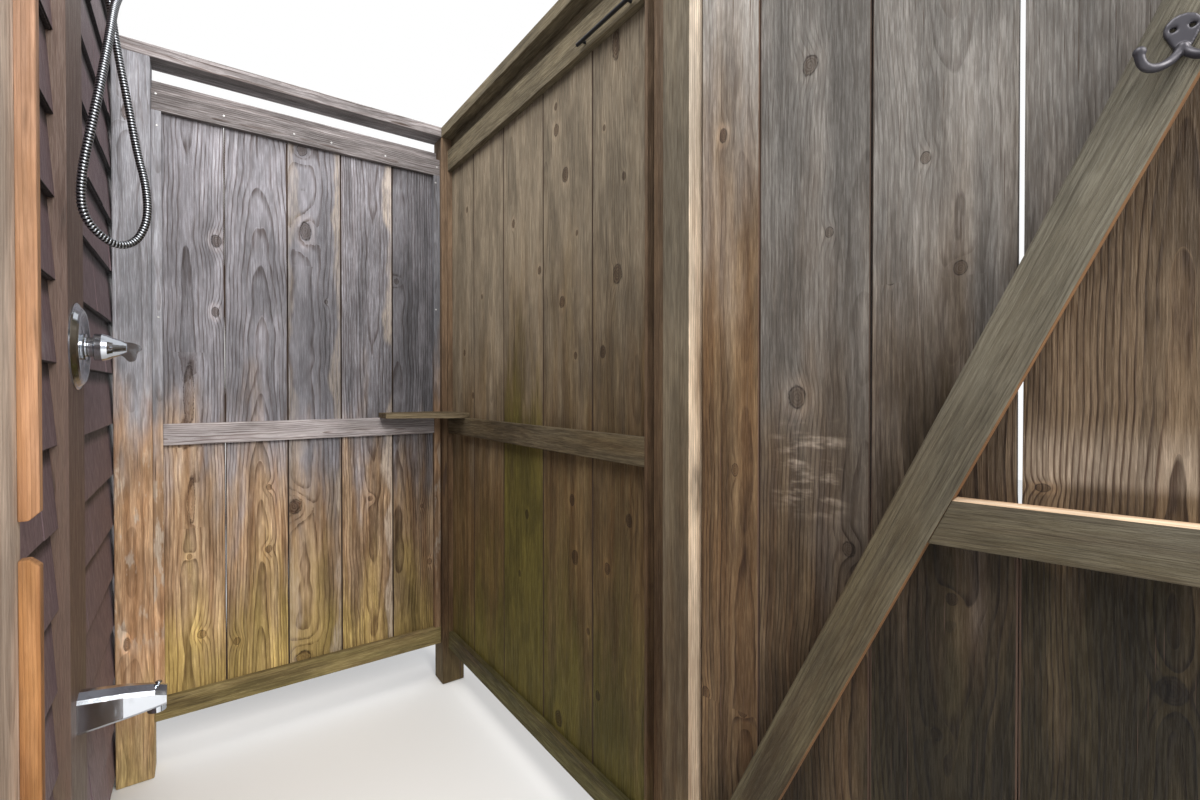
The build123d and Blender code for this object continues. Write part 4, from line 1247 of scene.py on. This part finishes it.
chrome = metal_material("chrome", (0.52, 0.55, 0.60), 0.10, spots=0.12)
hose_chrome = metal_material("hose_chrome", (0.34, 0.36, 0.39), 0.3, spots=0.1, groove=True)
iron = metal_material("gate_iron", (0.022, 0.022, 0.024), 0.42, metallic=0.6)
bronze = metal_material("dark_bronze", (0.045, 0.043, 0.052), 0.42, metallic=0.5)
zinc = metal_material("dull_zinc", (0.42, 0.42, 0.42), 0.5, metallic=0.7)
hose.data.materials.append(hose_chrome)
nail_data.materials.append(zinc)
for metal, names in (
    (chrome, "valve_escutcheon valve_sleeve valve_handle tub_spout diverter_knob supply_elbow hose_nuts"),
    (chrome, "hand_shower"),
    (iron, "hinge_leaves hinge_straps gate_bolt hanging_bar"),
    (bronze, "robe_hook"),
):
    for name in names.split():
        paint(name, metal)
print("metal pieces finished")

# %% [markdown]
# The real robe hook is a casting: its arms are thicker than wire and run into the plate in soft fillets. The
# solid's prongs are round wires, so modifiers melt prongs and plate into one skin of small voxels, swell it by
# a millimetre and smooth it.

# %% Cast hook
steps = nodes["robe_hook"].modifiers
set_all(steps.new("cast_skin", "REMESH"), mode="VOXEL", voxel_size=0.0011, use_smooth_shade=True)
set_all(steps.new("cast_swell", "DISPLACE"), strength=0.0012, mid_level=0.0)
set_all(steps.new("cast_soften", "SMOOTH"), factor=0.5, iterations=5)

# %% [markdown]
# ## Floor, sky and lamps
# The stall stands on a plain pale floor under a plain pale sky, so that its own colours are all that shows.
# The world is white where the camera or a reflection looks at it, and a little dimmer as light, so that the
# wood renders about as its colour is written. Two large soft lamps give the light a direction: one high over
# the open front, one over the house.

# %% Floor, sky and lamps
floor_half, floor_level = 9, -0.002
floor_finish, _, shader = new_material("pale_floor")
fill(shader, {"Base Color": (0.78, 0.77, 0.75, 1), "Roughness": 0.9})
floor_mesh = bpy.data.meshes.new("floor")
corners = [(x * floor_half, y * floor_half, 0) for x, y in ((-1, -1), (1, -1), (1, 1), (-1, 1))]
floor_mesh.from_pydata(corners, [], [(0, 1, 2, 3)])
floor_mesh.materials.append(floor_finish)
floor = add_object("floor", floor_mesh)
floor.location.z = floor_level

world = bpy.data.worlds.new("pale_sky")
world.use_nodes = True
bpy.context.scene.world = world
tree = world.node_tree
tree.nodes.clear()
rays = [put(tree, "LightPath", out=f"Is {kind} Ray") for kind in ("Camera", "Glossy", "Transmission")]
seen = sums("MAXIMUM", sums("MAXIMUM", rays[0], rays[1]), rays[2])
lighting = put(tree, "Background", {0: (0.92, 0.95, 1.0, 1), 1: 0.95})
white = put(tree, "Background", {0: (1, 1, 1, 1), 1: 1.0})
fill(tree.nodes.new("ShaderNodeOutputWorld"), {0: put(tree, "MixShader", {0: seen, 1: lighting, 2: white})})


def soft_lamp(name, place, target, size, power, colour):
    """A square lamp that faces a target."""
    lamp_data = set_all(bpy.data.lights.new(name, "AREA"), size=size, energy=power, color=colour)
    facing = (Vector(target) - Vector(place)).to_track_quat("-Z", "Y").to_euler()
    set_all(add_object(name, lamp_data), location=place, rotation_euler=facing)


soft_lamp("front_lamp", (1.2, -4.6, 3.6), (0.35, 0.5, 1.1), 2.5, 360, (1.0, 0.97, 0.93))
soft_lamp("over_lamp", (-0.7, -0.9, 4.6), (1.1, -0.1, 1.0), 2.2, 165, (1.0, 0.98, 0.95))
bpy.context.scene.view_settings.view_transform = "Standard"
